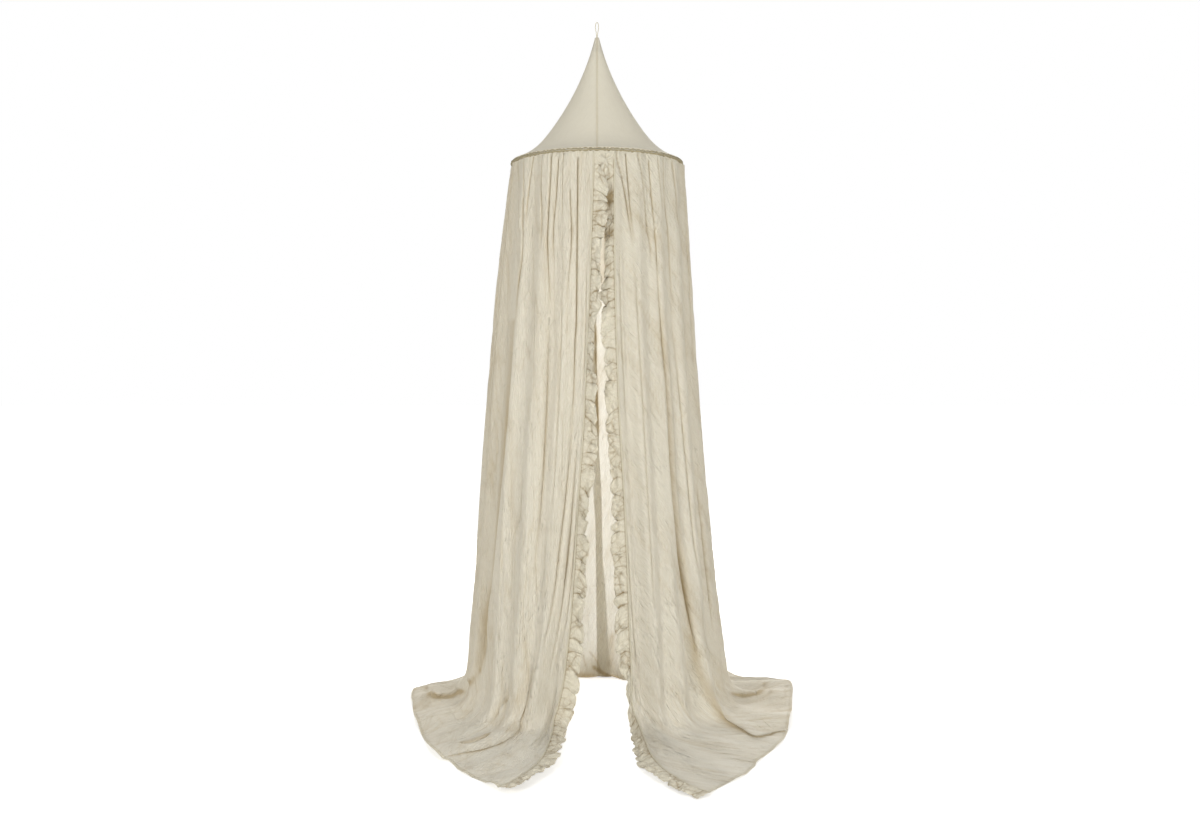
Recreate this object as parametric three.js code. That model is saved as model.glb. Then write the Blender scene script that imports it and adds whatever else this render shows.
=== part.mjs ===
// Bed crown canopy: a long cotton curtain gathered onto a hoop, under a trumpet-shaped cloth roof
// that hangs from a small cord loop. The curtain opens at the front between two frills and its
// spare length lies on the floor as a train.
// Millimetres, +Z up, the opening faces -Y. The origin is the point inside the hanging loop
// where a hook bears.

import * as THREE from 'three';

// Driving dimensions
const hoopRadius = 250;
const roofHeight = 376;
const curtainDrop = 1576;
const footHalfWidth = 381;
const hemHalfWidth = 575;

// Hanging loop, its stem of two strands and the knot that holds it under the peak
const cordDiameter = 2.4;
const eyeWidth = 6.6;
const eyeLength = 29;
const stemLength = 15;
const strandGap = 0.3;
const knotRadius = 6.2;
const knotHalfHeight = 5;

// Half the eye's outline, from the top of the stem to the top of the eye, as
// [share of the eye's half width, share of its length from the stem]
const eyeShares = [[0.5, 0.02], [0.76, 0.2], [1, 0.5], [0.93, 0.8], [0.62, 0.98]];

// Cloth
const clothThickness = 2;
const seamGap = 0.35;
const peakLiningDepth = 48;
const peakLiningStart = 2.5;
const peakLiningThickness = 1.4;

// The roof's profile is a straight line, by the first share, plus a square curve, by the second,
// and the rest is a flare of this power just above the hoop
const roofLineShare = 0.36;
const roofCurveShare = 0.51;
const roofFlarePower = 13;

// Hoop
const casingRadius = 5.5;
const casingWall = 1.2;
const casingSlit = 1.2;
const rodRadius = 2.6;
const sleeveWall = 0.6;
const sleeveLength = 46;
const runningGap = 0.25;
const rodEndGap = 0.4;

// Front opening
const openingWidth = 55;
const openingOffset = 19.5;
const edgeBow = 56;
const edgeBowShare = 0.12;

// Where the cloth leaves the hoop's drop and turns onto the floor
const bendHeight = 85;
const bendReach = 75;
const trainPuff = 9;

// Frills
const frillWidth = 44;
const frillThickness = 1.4;
const frillRootGap = 1.1;
const frillWave = 92;
const frillSwing = 6.5;
const frillLean = 12;
const frillFloorShare = 0.62;

// Main folds
const foldCount = 20;
const foldAtHoop = 4;
const foldAtMiddle = 9;
const foldAtFoot = 11;
const foldAtHem = 5;
const wanderCount = 3;
const wanderShare = 0.14;
const creaseHeight = 30;

// Levels below the hook, and the places that follow from one another
const tipLevel = -(eyeLength + stemLength);
const hoopLevel = tipLevel - roofHeight;
const floorLevel = hoopLevel - curtainDrop;
const strandReach = strandGap / 2 + cordDiameter / 2;
const peakHole = strandReach + cordDiameter / 2 + runningGap;
const liningInset = clothThickness / 2 + seamGap;
const tipRadius = peakHole + peakLiningThickness + liningInset;
const roofBase = hoopLevel + casingRadius + seamGap + clothThickness / 2;
const curtainTop = hoopLevel - casingRadius - seamGap;
const drop = curtainTop - floorLevel;
const bendStart = 1 - bendHeight / drop;
const leftEdgeAngle = (openingOffset - openingWidth / 2) / hoopRadius;
const rightEdgeAngle = (openingOffset + openingWidth / 2) / hoopRadius - 2 * Math.PI;

// Foot of the hanging cloth, from the left front edge round the back to the right front edge,
// in shares of footHalfWidth
const footShares = [
  [-0.236, -0.769], [-0.474, -0.897], [-0.705, -0.769], [-0.897, -0.462], [-0.995, -0.077],
  [-0.954, 0.256], [-0.744, 0.513], [-0.41, 0.654], [-0.013, 0.692], [0.41, 0.654],
  [0.744, 0.526], [0.954, 0.282], [1.005, -0.077], [0.903, -0.462], [0.718, -0.769],
  [0.487, -0.897], [0.244, -0.769],
];

// Hem of the train in the same order, in shares of hemHalfWidth
const hemShares = [
  [-0.426, -1.325], [-0.6, -1.113], [-0.739, -0.835], [-0.838, -0.53], [-0.925, -0.157],
  [-0.957, 0.174], [-0.765, 0.374], [-0.504, 0.835], [0, 1.078], [0.504, 0.87],
  [0.783, 0.426], [1.03, 0.322], [0.986, -0.104], [0.89, -0.565], [0.774, -0.87],
  [0.635, -1.157], [0.438, -1.417],
];

// How far the cloth bellies out ahead of a straight line, high up and low down,
// at the left edge, left side, back, right side and right edge
const bellyShares = [[-0.16, -0.16], [0.17, -0.03], [0, 0], [0, -0.16], [-0.43, 0.05]];

// Share of the cloth's length where the hanging part ends and where the train begins
const hangShare = 0.72;
const trainShare = 0.8;

// Borders of the curtain's widths, in shares of the way round
const frontShare = 0.155;
const sideShare = 0.35;
const backShare = 0.5;

// Creases that stand out, each along a line of [share of the length, share of the way round],
// with its rise at the same points in shares of creaseHeight and its half width as a share of
// the way round
const creases = [
  { lineShares: [[0.1, 0.152], [0.6, 0.152], [0.95, 0.156]],
    riseShares: [-0.2, -0.5, -0.3], widthShare: 0.012 },
  { lineShares: [[0.49, 0.02], [0.64, 0.037], [0.78, 0.0725], [1, 0.115]],
    riseShares: [0, 0.3, 1, 0.8], widthShare: 0.018 },
  { lineShares: [[0.8, 0.19], [0.9, 0.19], [1, 0.19]],
    riseShares: [0.25, 0.8, 0.3], widthShare: 0.022 },
  { lineShares: [[0.82, 0.26], [0.88, 0.26], [1, 0.28]],
    riseShares: [0.1, 0.9, 0.2], widthShare: 0.02 },
  { lineShares: [[0.1, 0.92], [0.6, 0.896], [0.78, 0.858], [1, 0.825]],
    riseShares: [-0.2, -0.5, -0.5, -0.2], widthShare: 0.014 },
  { lineShares: [[0.64, 0.86], [0.78, 0.83], [1, 0.79]],
    riseShares: [0, 0.8, 0.9], widthShare: 0.02 },
  { lineShares: [[0.82, 0.74], [0.88, 0.74], [1, 0.72]],
    riseShares: [0.1, 0.9, 0.2], widthShare: 0.02 },
];

// Mesh counts
const columnsPerFold = 5;
const hangRows = 9;
const bendRows = 3;
const trainRows = 4;
const frillStepsPerWave = 4;
const roofRows = 10;
const roofColumns = 9;
const capRows = 6;
const peakSides = 16;
const hoopSteps = 40;
const roundSides = 8;
const casingSides = 10;
const cordSides = 8;
const cordSteps = 36;
const knotChecks = 40;

// Small steps for measuring a slope, and for telling two vertices apart
const nudgeShare = 1e-3;
const mergeStep = 1e-4;

const colours = {
  curtain: 0xd3ccb9,
  roof: 0xd0cab7,
  frill: 0xdbd5c2,
  casing: 0xb9b198,
  cord: 0xc9c2ad,
  rod: 0xe6e4de,
  sleeve: 0xb9bbbd,
};

const canopy = new THREE.Group();

const mix = (from, to, share) => from + (to - from) * share;
const ease = (share) => {
  const s = Math.min(1, Math.max(0, share));
  return s * s * (3 - 2 * s);
};

// Value at a place on a broken line through these values
function follow(places, values, at) {
  const last = places.length - 1;
  if (at <= places[0]) return values[0];
  if (at >= places[last]) return values[last];
  const next = places.findIndex((place) => place > at);
  const part = (at - places[next - 1]) / (places[next] - places[next - 1]);
  return mix(values[next - 1], values[next], part);
}

function addPiece(name, geometry, colour, roughness = 0.92, metalness = 0) {
  const material = new THREE.MeshStandardMaterial({ color: colour, roughness, metalness });
  const piece = new THREE.Mesh(geometry, material);
  piece.name = name;
  canopy.add(piece);
  return piece;
}

// Geometry from vertices and triangles, turned so that its faces point out
function closedGeometry(vertices, triangles) {
  let volume = 0;
  for (const [a, b, c] of triangles) {
    volume += vertices[a].dot(new THREE.Vector3().crossVectors(vertices[b], vertices[c]));
  }
  const outward = volume > 0 ? triangles : triangles.map(([a, b, c]) => [a, c, b]);
  const geometry = new THREE.BufferGeometry();
  const numbers = vertices.flatMap((vertex) => vertex.toArray());
  geometry.setAttribute('position', new THREE.Float32BufferAttribute(numbers, 3));
  geometry.setIndex(outward.flat());
  geometry.computeVertexNormals();
  return geometry;
}

// A sheet of cloth of even thickness over a grid: surface(across, down) is its middle
function sheetGeometry(surface, acrossValues, downValues, thickness) {
  const upper = [];
  const lower = [];
  for (const down of downValues) {
    for (const across of acrossValues) {
      const middle = surface(across, down);
      const alongAcross = surface(across + nudgeShare, down).sub(surface(across - nudgeShare, down));
      const alongDown = surface(across, down + nudgeShare).sub(surface(across, down - nudgeShare));
      const normal = alongAcross.cross(alongDown).normalize().multiplyScalar(thickness / 2);
      upper.push(middle.clone().add(normal));
      lower.push(middle.clone().sub(normal));
    }
  }
  const columns = acrossValues.length;
  const rows = downValues.length;
  const under = columns * rows;
  const triangles = [];
  const quad = (a, b, c, d) => triangles.push([a, b, c], [a, c, d]);
  for (let row = 0; row < rows - 1; row += 1) {
    for (let column = 0; column < columns - 1; column += 1) {
      const a = row * columns + column;
      const b = a + 1;
      const c = b + columns;
      const d = a + columns;
      quad(a, b, c, d);
      quad(under + a, under + d, under + c, under + b);
    }
  }
  const rim = [];
  for (let column = 0; column < columns; column += 1) rim.push(column);
  for (let row = 1; row < rows; row += 1) rim.push(row * columns + columns - 1);
  for (let column = columns - 2; column >= 0; column -= 1) rim.push((rows - 1) * columns + column);
  for (let row = rows - 2; row > 0; row -= 1) rim.push(row * columns);
  rim.forEach((from, index) => {
    const to = rim[(index + 1) % rim.length];
    quad(from, under + from, under + to, to);
  });
  return closedGeometry([...upper, ...lower], triangles);
}

const steps = (from, to, count) => Array.from({ length: count + 1 }, (_, i) => mix(from, to, i / count));

// Curtain

const guide = (shares, size) => new THREE.CatmullRomCurve3(
  shares.map(([x, y]) => new THREE.Vector3(x * size, y * size, 0)), false, 'catmullrom', 0.5,
);
const footLine = guide(footShares, footHalfWidth);
const hemLine = guide(hemShares, hemHalfWidth);

const clampShare = (share) => Math.min(1, Math.max(0, share));

function hoopPoint(share) {
  const angle = mix(leftEdgeAngle, rightEdgeAngle, share);
  return new THREE.Vector3(Math.sin(angle), -Math.cos(angle), 0).multiplyScalar(hoopRadius);
}

// A guide line carried on in a straight line past its ends
function guidePoint(line, share) {
  const inside = clampShare(share);
  const point = line.getPoint(inside);
  return point.addScaledVector(line.getTangent(inside), (share - inside) * line.getLength());
}

function belly(share, fall) {
  const quarter = clampShare(share) * (bellyShares.length - 1);
  const from = Math.min(Math.floor(quarter), bellyShares.length - 2);
  const part = ease(quarter - from);
  const high = mix(bellyShares[from][0], bellyShares[from + 1][0], part);
  const low = mix(bellyShares[from][1], bellyShares[from + 1][1], part);
  return fall + Math.sin(Math.PI * fall) * mix(high, low, fall);
}

// Plan place of the hanging cloth after a share of its fall
function hangPoint(share, fall) {
  return hoopPoint(share).lerp(guidePoint(footLine, share), belly(share, fall));
}

// Plan place of the train, from the foot (0) to the hem (1), bowed at the two front edges
function trainPoint(share, run) {
  const foot = guidePoint(footLine, share);
  const hem = guidePoint(hemLine, share);
  const fromLeft = Math.max(0, 1 - clampShare(share) / edgeBowShare) ** 2;
  const fromRight = Math.max(0, 1 - (1 - clampShare(share)) / edgeBowShare) ** 2;
  const bow = 4 * run * (1 - run) * edgeBow;
  const point = foot.clone().lerp(hem, run);
  point.x += bow * (fromLeft - fromRight);
  point.y -= bow * (fromLeft + fromRight) / 2;
  return point;
}

function creaseRise(share, run) {
  let rise = 0;
  for (const crease of creases) {
    const places = crease.lineShares.map(([place]) => place);
    const shares = crease.lineShares.map(([, round]) => round);
    if (run < places[0]) continue;
    const offset = (share - follow(places, shares, run)) / crease.widthShare;
    rise += creaseHeight * follow(places, crease.riseShares, run) * Math.exp(-offset * offset);
  }
  return rise;
}

function foldRise(share, run, onFloor) {
  const wander = wanderShare * Math.sin(2 * Math.PI * wanderCount * share);
  const wave = Math.cos(2 * Math.PI * (foldCount * share + wander));
  const size = follow(
    [0, hangShare / 2, hangShare, trainShare, 1],
    [foldAtHoop, foldAtMiddle, foldAtFoot, foldAtFoot, foldAtHem], run,
  );
  const puff = onFloor * trainPuff * (1 - run) / (1 - trainShare);
  const rise = size * (wave + onFloor) + creaseRise(share, run) + puff;
  return onFloor === 1 ? Math.max(0, rise) : rise;
}

// Middle of the curtain's cloth: share is the way round, run the way from hoop to hem
function curtainPoint(share, run) {
  const reach = bendReach / guidePoint(footLine, share).distanceTo(guidePoint(hemLine, share));
  const floor = floorLevel + clothThickness / 2;
  const middle = new THREE.Vector3();
  let turned = 0;
  if (run < hangShare) {
    const fall = run / hangShare * bendStart;
    middle.copy(hangPoint(share, fall));
    middle.z = curtainTop - fall * drop;
  } else if (run < trainShare) {
    turned = (run - hangShare) / (trainShare - hangShare);
    const above = hangPoint(share, bendStart).setZ(curtainTop - bendStart * drop);
    const corner = hangPoint(share, 1).setZ(floor);
    const ahead = trainPoint(share, reach).setZ(floor);
    middle.addScaledVector(above, (1 - turned) ** 2);
    middle.addScaledVector(corner, 2 * turned * (1 - turned));
    middle.addScaledVector(ahead, turned ** 2);
  } else {
    turned = 1;
    middle.copy(trainPoint(share, mix(reach, 1, (run - trainShare) / (1 - trainShare))));
    middle.z = floor;
  }
  const out = new THREE.Vector3(middle.x, middle.y, 0).normalize().multiplyScalar(1 - ease(turned));
  out.z = ease(turned);
  return middle.addScaledVector(out.normalize(), foldRise(share, run, ease(turned)));
}

const curtainRows = [
  ...steps(0, hangShare, hangRows),
  ...steps(hangShare, trainShare, bendRows).slice(1),
  ...steps(trainShare, 1, trainRows).slice(1),
];

// One width of the curtain, kept clear of its neighbours by half a seam gap on each side
function curtainGeometry(from, to) {
  const inset = seamGap / 2 / (2 * Math.PI * hoopRadius - openingWidth);
  const columns = Math.max(3, Math.round((to - from) * foldCount * columnsPerFold));
  return sheetGeometry(curtainPoint, steps(from + inset, to - inset, columns), curtainRows, clothThickness);
}

// Frill: a gathered strip along a front edge, side is -1 at the left edge and +1 at the right
function frillGeometry(side) {
  const edge = side < 0 ? 0 : 1;
  const rootLine = curtainRows.map((run) => curtainPoint(edge, run));
  const acrossLine = curtainRows.map((run) => {
    const inner = curtainPoint(edge - side * nudgeShare, run);
    return curtainPoint(edge, run).sub(inner).normalize();
  });
  const lengths = [0];
  for (let row = 1; row < rootLine.length; row += 1) {
    lengths.push(lengths[row - 1] + rootLine[row].distanceTo(rootLine[row - 1]));
  }
  const total = lengths[lengths.length - 1];
  const waves = Math.round(total / frillWave);
  const onLine = (line, length) => {
    const last = lengths.length - 2;
    const found = lengths.findIndex((mark) => mark > length) - 1;
    const row = length <= 0 ? 0 : found < 0 ? last : found;
    const share = (length - lengths[row]) / (lengths[row + 1] - lengths[row]);
    return line[row].clone().lerp(line[row + 1], share);
  };
  const surface = (across, down) => {
    const root = onLine(rootLine, down * total);
    const way = onLine(acrossLine, down * total).normalize();
    const run = onLine(rootLine, down * total + frillWave * nudgeShare).sub(root).normalize();
    const out = new THREE.Vector3().crossVectors(run, way).normalize();
    const facing = out.z + (out.x * root.x + out.y * root.y) / footHalfWidth > 0 ? 1 : -1;
    const onFloor = ease((down * total - lengths[hangRows]) / bendHeight);
    const wave = Math.cos(2 * Math.PI * waves * down);
    const lean = mix(-side * frillLean, frillSwing, onFloor);
    const swing = across * (lean + frillSwing * wave);
    const width = frillWidth * mix(1, frillFloorShare, onFloor);
    return root.addScaledVector(way, frillRootGap + across * width).addScaledVector(out, facing * swing);
  };
  return sheetGeometry(surface, [0, 1], steps(0, 1, waves * frillStepsPerWave), frillThickness);
}

// Roof

function roofRadius(level) {
  const fromTip = (tipLevel - level) / (tipLevel - roofBase);
  const flareShare = 1 - roofLineShare - roofCurveShare;
  const curved = roofCurveShare * fromTip ** 2 + flareShare * Math.max(0, fromTip) ** roofFlarePower;
  return mix(tipRadius, hoopRadius, roofLineShare * fromTip + curved);
}

function roofGeometry(quarter) {
  const inset = seamGap / 2;
  const surface = (across, down) => {
    const level = mix(tipLevel, roofBase, down);
    const radius = roofRadius(level);
    const start = quarter * Math.PI / 2 + inset / radius;
    const end = (quarter + 1) * Math.PI / 2 - inset / radius;
    const angle = mix(start, end, across);
    return new THREE.Vector3(Math.cos(angle) * radius, Math.sin(angle) * radius, level);
  };
  return sheetGeometry(surface, steps(0, 1, roofColumns), steps(0, 1, roofRows), clothThickness);
}

function peakLiningGeometry() {
  const outer = [];
  const inner = [];
  for (const depth of steps(peakLiningStart, peakLiningDepth, capRows)) {
    const level = tipLevel - depth;
    const radius = roofRadius(level) - liningInset;
    outer.push(new THREE.Vector2(radius, level));
    inner.push(new THREE.Vector2(radius - peakLiningThickness, level));
  }
  const profile = [...outer, ...inner.reverse()];
  profile.push(profile[0].clone());
  return latheUp(profile, peakSides);
}

// A profile of (radius, level) turned about Z
function latheUp(profile, sides) {
  const geometry = new THREE.LatheGeometry(profile, sides);
  geometry.rotateX(Math.PI / 2);
  return turnedOut(geometry);
}

// The same surface with shared vertices and its faces pointing out
function turnedOut(geometry) {
  const place = geometry.getAttribute('position');
  const found = new Map();
  const vertices = [];
  const use = [];
  for (let i = 0; i < place.count; i += 1) {
    const vertex = new THREE.Vector3().fromBufferAttribute(place, i);
    const key = vertex.toArray().map((value) => Math.round(value / mergeStep)).join();
    if (!found.has(key)) {
      found.set(key, vertices.length);
      vertices.push(vertex);
    }
    use.push(found.get(key));
  }
  const index = geometry.getIndex();
  const corner = (i) => use[index ? index.getX(i) : i];
  const count = index ? index.count : place.count;
  const triangles = [];
  for (let i = 0; i < count; i += 3) {
    const triangle = [corner(i), corner(i + 1), corner(i + 2)];
    if (new Set(triangle).size === 3) triangles.push(triangle);
  }
  return closedGeometry(vertices, triangles);
}

// Hoop

function casingGeometry() {
  const outer = [];
  const inner = [];
  const slit = casingSlit / 2 / casingRadius;
  for (const turn of steps(slit, 2 * Math.PI - slit, casingSides)) {
    const angle = turn - Math.PI / 2;
    const facing = new THREE.Vector2(Math.cos(angle), Math.sin(angle));
    const centre = new THREE.Vector2(hoopRadius, hoopLevel);
    outer.push(centre.clone().addScaledVector(facing, casingRadius));
    inner.push(centre.clone().addScaledVector(facing, casingRadius - casingWall));
  }
  const profile = [...outer, ...inner.reverse()];
  profile.push(profile[0].clone());
  return latheUp(profile, hoopSteps);
}

// The hoop is drawn as a ring of straight stretches, and all that is on it follows them
const hoopTurn = 2 * Math.PI / hoopSteps;

function hoopReach(angle) {
  const past = angle - hoopTurn * Math.floor(angle / hoopTurn);
  return hoopRadius * Math.cos(hoopTurn / 2) / Math.cos(past - hoopTurn / 2);
}

function hoopAngles(from, to) {
  const first = Math.floor(from / hoopTurn + 0.5) + 1;
  const between = [];
  for (let turn = first; turn * hoopTurn < to - hoopTurn / 2; turn += 1) between.push(turn * hoopTurn);
  return [from, ...between, to];
}

// A round bar, or a tube if bore is not zero, bent along the hoop through these angles
function hoopArcGeometry(radius, bore, angles) {
  const vertices = [];
  const triangles = [];
  const rings = bore > 0 ? [radius, bore] : [radius];
  for (const angle of angles) {
    for (const ring of rings) {
      for (let side = 0; side < roundSides; side += 1) {
        const turn = 2 * Math.PI * side / roundSides;
        const reach = hoopReach(angle) + ring * Math.cos(turn);
        const level = hoopLevel + ring * Math.sin(turn);
        vertices.push(new THREE.Vector3(reach * Math.cos(angle), reach * Math.sin(angle), level));
      }
    }
  }
  const perStep = rings.length * roundSides;
  const quad = (a, b, c, d) => triangles.push([a, b, c], [a, c, d]);
  rings.forEach((_, which) => {
    for (let step = 0; step < angles.length - 1; step += 1) {
      for (let side = 0; side < roundSides; side += 1) {
        const a = step * perStep + which * roundSides + side;
        const b = step * perStep + which * roundSides + (side + 1) % roundSides;
        if (which === 0) quad(a, b, b + perStep, a + perStep);
        else quad(b, a, a + perStep, b + perStep);
      }
    }
  });
  const endAt = (angles.length - 1) * perStep;
  for (let side = 0; side < roundSides; side += 1) {
    const next = (side + 1) % roundSides;
    if (bore > 0) {
      quad(side, roundSides + side, roundSides + next, next);
      quad(endAt + side, endAt + next, endAt + roundSides + next, endAt + roundSides + side);
    } else if (side > 0 && next > 0) {
      triangles.push([0, next, side], [endAt, endAt + side, endAt + next]);
    }
  }
  return closedGeometry(vertices, triangles);
}

// Hanging loop

// The knot's depth under the tip, where it just clears the peak's lining all over
function knotDepthUnderTip() {
  const clear = (depth) => steps(0, Math.PI / 2, knotChecks).every((angle) => {
    const level = tipLevel - depth + knotHalfHeight * Math.sin(angle);
    const room = roofRadius(level) - liningInset - peakLiningThickness - seamGap;
    return knotRadius * Math.cos(angle) < room;
  });
  let depth = peakLiningStart + knotHalfHeight;
  while (!clear(depth)) depth += knotHalfHeight * nudgeShare;
  return depth;
}

const knotLevel = tipLevel - knotDepthUnderTip();

// Up one strand, round the eye and down the other, in the plane of the front
function loopGeometry() {
  const radius = cordDiameter / 2;
  const eyeReach = eyeWidth / 2 + radius;
  const side = [
    [strandReach, knotLevel + knotHalfHeight + seamGap],
    [strandReach, tipLevel],
    [strandReach, tipLevel + stemLength / 2],
    ...eyeShares.map(([across, up]) => [eyeReach * across, eyeLength * (up - 1)]),
  ];
  const right = side.map(([x, z]) => new THREE.Vector3(x, 0, z));
  const left = side.map(([x, z]) => new THREE.Vector3(-x, 0, z)).reverse();
  const top = new THREE.Vector3(0, 0, radius);
  const path = new THREE.CatmullRomCurve3([...right, top, ...left], false, 'centripetal');
  const corners = steps(0, 2 * Math.PI, cordSides).slice(1);
  const section = new THREE.Shape(corners.map((angle) => (
    new THREE.Vector2(radius * Math.cos(angle), radius * Math.sin(angle))
  )));
  const settings = { steps: cordSteps, extrudePath: path, bevelEnabled: false };
  return turnedOut(new THREE.ExtrudeGeometry(section, settings));
}

function knotGeometry() {
  const profile = steps(-Math.PI / 2, Math.PI / 2, capRows + 2).map((angle) => (
    new THREE.Vector2(knotRadius * Math.cos(angle), knotLevel + knotHalfHeight * Math.sin(angle))
  ));
  profile[0].x = 0;
  profile[profile.length - 1].x = 0;
  return latheUp(profile, peakSides);
}

addPiece('hanging_loop', loopGeometry(), colours.cord, 0.85);
addPiece('loop_knot', knotGeometry(), colours.cord, 0.85);
addPiece('peak_lining', peakLiningGeometry(), colours.roof);

const gores = ['roof_back_right', 'roof_back_left', 'roof_front_left', 'roof_front_right'];
gores.forEach((name, quarter) => addPiece(name, roofGeometry(quarter), colours.roof));

addPiece('hoop_casing', casingGeometry(), colours.casing);
const rodEnd = rodEndGap / 2 / hoopRadius;
addPiece('hoop_rod_left', hoopArcGeometry(
  rodRadius, 0, hoopAngles(Math.PI / 2 + rodEnd, Math.PI * 3 / 2 - rodEnd),
), colours.rod, 0.5);
addPiece('hoop_rod_right', hoopArcGeometry(
  rodRadius, 0, hoopAngles(-Math.PI / 2 + rodEnd, Math.PI / 2 - rodEnd),
), colours.rod, 0.5);
const sleeveBore = rodRadius + runningGap;
const sleeveHalf = sleeveLength / 2 / hoopRadius;
[['hoop_sleeve_back', Math.PI / 2], ['hoop_sleeve_front', -Math.PI / 2]].forEach(([name, angle]) => {
  addPiece(name, hoopArcGeometry(
    sleeveBore + sleeveWall, sleeveBore, [angle - sleeveHalf, angle, angle + sleeveHalf],
  ), colours.sleeve, 0.35, 0.9);
});

const widths = [
  ['left_front_curtain', 0, frontShare],
  ['left_side_curtain', frontShare, sideShare],
  ['left_back_curtain', sideShare, backShare],
  ['right_back_curtain', backShare, 1 - sideShare],
  ['right_side_curtain', 1 - sideShare, 1 - frontShare],
  ['right_front_curtain', 1 - frontShare, 1],
];
widths.forEach(([name, from, to]) => addPiece(name, curtainGeometry(from, to), colours.curtain));

addPiece('left_frill', frillGeometry(-1), colours.frill);
addPiece('right_frill', frillGeometry(1), colours.frill);

export default canopy;
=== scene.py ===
# %% [markdown]
# # A bed crown canopy
#
# A nursery canopy is sewn cloth and almost nothing else. A cord loop hangs on a hook, a trumpet-shaped
# roof of four gores hangs on the loop, a hoop in a gathered casing holds the roof open, and a long
# curtain of crinkled cotton gauze falls from the hoop and runs out over the floor. The curtain opens
# at the front between two gathered frills.
#
# This notebook dresses a model whose sizes and joints are already fixed. It loads that model as a
# frame, and every piece made here lies where the frame's own piece lies.

import math

import bpy
import numpy as np
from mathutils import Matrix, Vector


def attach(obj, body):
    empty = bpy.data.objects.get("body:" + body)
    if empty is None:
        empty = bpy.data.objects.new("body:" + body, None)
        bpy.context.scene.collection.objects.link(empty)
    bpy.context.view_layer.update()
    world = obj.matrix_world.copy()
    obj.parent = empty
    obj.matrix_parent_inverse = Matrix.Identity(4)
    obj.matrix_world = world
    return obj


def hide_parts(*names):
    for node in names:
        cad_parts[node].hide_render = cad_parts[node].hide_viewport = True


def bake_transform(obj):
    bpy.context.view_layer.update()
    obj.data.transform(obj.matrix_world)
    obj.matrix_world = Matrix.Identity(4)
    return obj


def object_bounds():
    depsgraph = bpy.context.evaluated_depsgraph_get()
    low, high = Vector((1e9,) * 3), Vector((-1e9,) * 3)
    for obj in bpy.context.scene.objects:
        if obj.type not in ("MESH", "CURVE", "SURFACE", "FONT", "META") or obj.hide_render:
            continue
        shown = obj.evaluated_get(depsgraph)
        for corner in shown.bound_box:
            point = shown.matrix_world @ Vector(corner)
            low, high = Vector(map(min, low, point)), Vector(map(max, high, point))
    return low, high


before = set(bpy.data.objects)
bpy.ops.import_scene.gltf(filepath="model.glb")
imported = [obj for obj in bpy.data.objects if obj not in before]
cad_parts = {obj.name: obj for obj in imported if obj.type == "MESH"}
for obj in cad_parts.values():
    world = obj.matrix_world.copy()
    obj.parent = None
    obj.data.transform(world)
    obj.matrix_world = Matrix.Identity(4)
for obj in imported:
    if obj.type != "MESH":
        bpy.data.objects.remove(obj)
frame_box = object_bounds()
print("frame, in metres:", [round(v, 3) for v in (*frame_box[0], *frame_box[1])])

# %% [markdown]
# ## Sizes
#
# Everything is in metres, with the origin in the hanging loop where the hook bears. The floor is read
# from the frame. The other driving sizes are the ones that the frame was drawn from, and the
# curtain's formula further down needs them again.

# %% Driving sizes
floor_level = frame_box[0].z
hoop_radius = 0.25
hoop_level = -0.42
casing_radius = 0.0055
tip_level = -0.044
tip_radius = 0.0056
curtain_gap = 0.00035
roof_gap = 0.00135
curtain_top = hoop_level - casing_radius - curtain_gap
roof_base = hoop_level + casing_radius + roof_gap
drop = curtain_top - floor_level
print(f"hook to floor {-floor_level:.3f}, hoop to floor {drop:.3f}")

# %% [markdown]
# ## The camera
#
# The photograph is a level front view: upright folds stay upright in it. So the camera looks straight
# along +Y, and the frame is slid by the lens shift instead of tilting the camera, which would make
# the folds lean. Its distance and height come from how the hoop's near and far halves and the
# train's ends line up. The same numbers give a small function that says which pixel a point falls
# on, and the folds further down are placed with it.

# %% Camera
image_width = 1200
image_height = 831
focal_pixels = 1183
axis_column = 597
horizon_row = 372.6
camera_distance = 3.5
camera_height = 0.9617
sensor_width = 36

camera_data = bpy.data.cameras.new("front_view")
camera_data.sensor_width = sensor_width
camera_data.lens = sensor_width * focal_pixels / image_width
camera_data.shift_x = (image_width / 2 - axis_column) / image_width
camera_data.shift_y = (horizon_row - image_height / 2) / image_width
camera = bpy.data.objects.new("front_view", camera_data)
camera.location = (0, -camera_distance, floor_level + camera_height)
camera.rotation_euler = (math.pi / 2, 0, 0)
bpy.context.scene.collection.objects.link(camera)
bpy.context.scene.camera = camera


def pixel_of(points):
    """Column and row of the photograph for points in an array of (..., 3)."""
    ahead = camera_distance + points[..., 1]
    column = axis_column + focal_pixels * points[..., 0] / ahead
    row = horizon_row + focal_pixels * (camera_height - points[..., 2] + floor_level) / ahead
    return column, row


hook_pixel = [round(float(value), 1) for value in pixel_of(np.zeros(3))]
print("lens", round(camera_data.lens, 2), "mm, hook at pixel", hook_pixel)

# %% [markdown]
# ## Studio
#
# A product photograph of pale cloth on white has big soft lamps and a floor that is blown out to white
# except in the contact shadow. Turning the lamps up would blow out the cloth as well. Instead the
# floor adds a little light of its own, for rays that end in the eye only, and what is left of its
# diffuse share still darkens under the cloth. The world does the same for the backdrop.
#
# How much light the floor has to add changes with the distance from the canopy. Inside, the cloth
# keeps the lamps away, and it adds much. Round the foot the lamps light it well, so it adds little
# there, and the contact shadow shows. Far out the lamps are weak, and it adds much again.

# %% Small helpers for colours and nodes
def linear(hex_colour):
    """A colour as written in sRGB, such as 'd3ccb9', turned into the linear values that shaders use."""
    channels = [int(hex_colour[i:i + 2], 16) / 255 for i in (0, 2, 4)]
    return tuple(c / 12.92 if c <= 0.04045 else ((c + 0.055) / 1.055) ** 2.4 for c in channels) + (1,)


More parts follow.
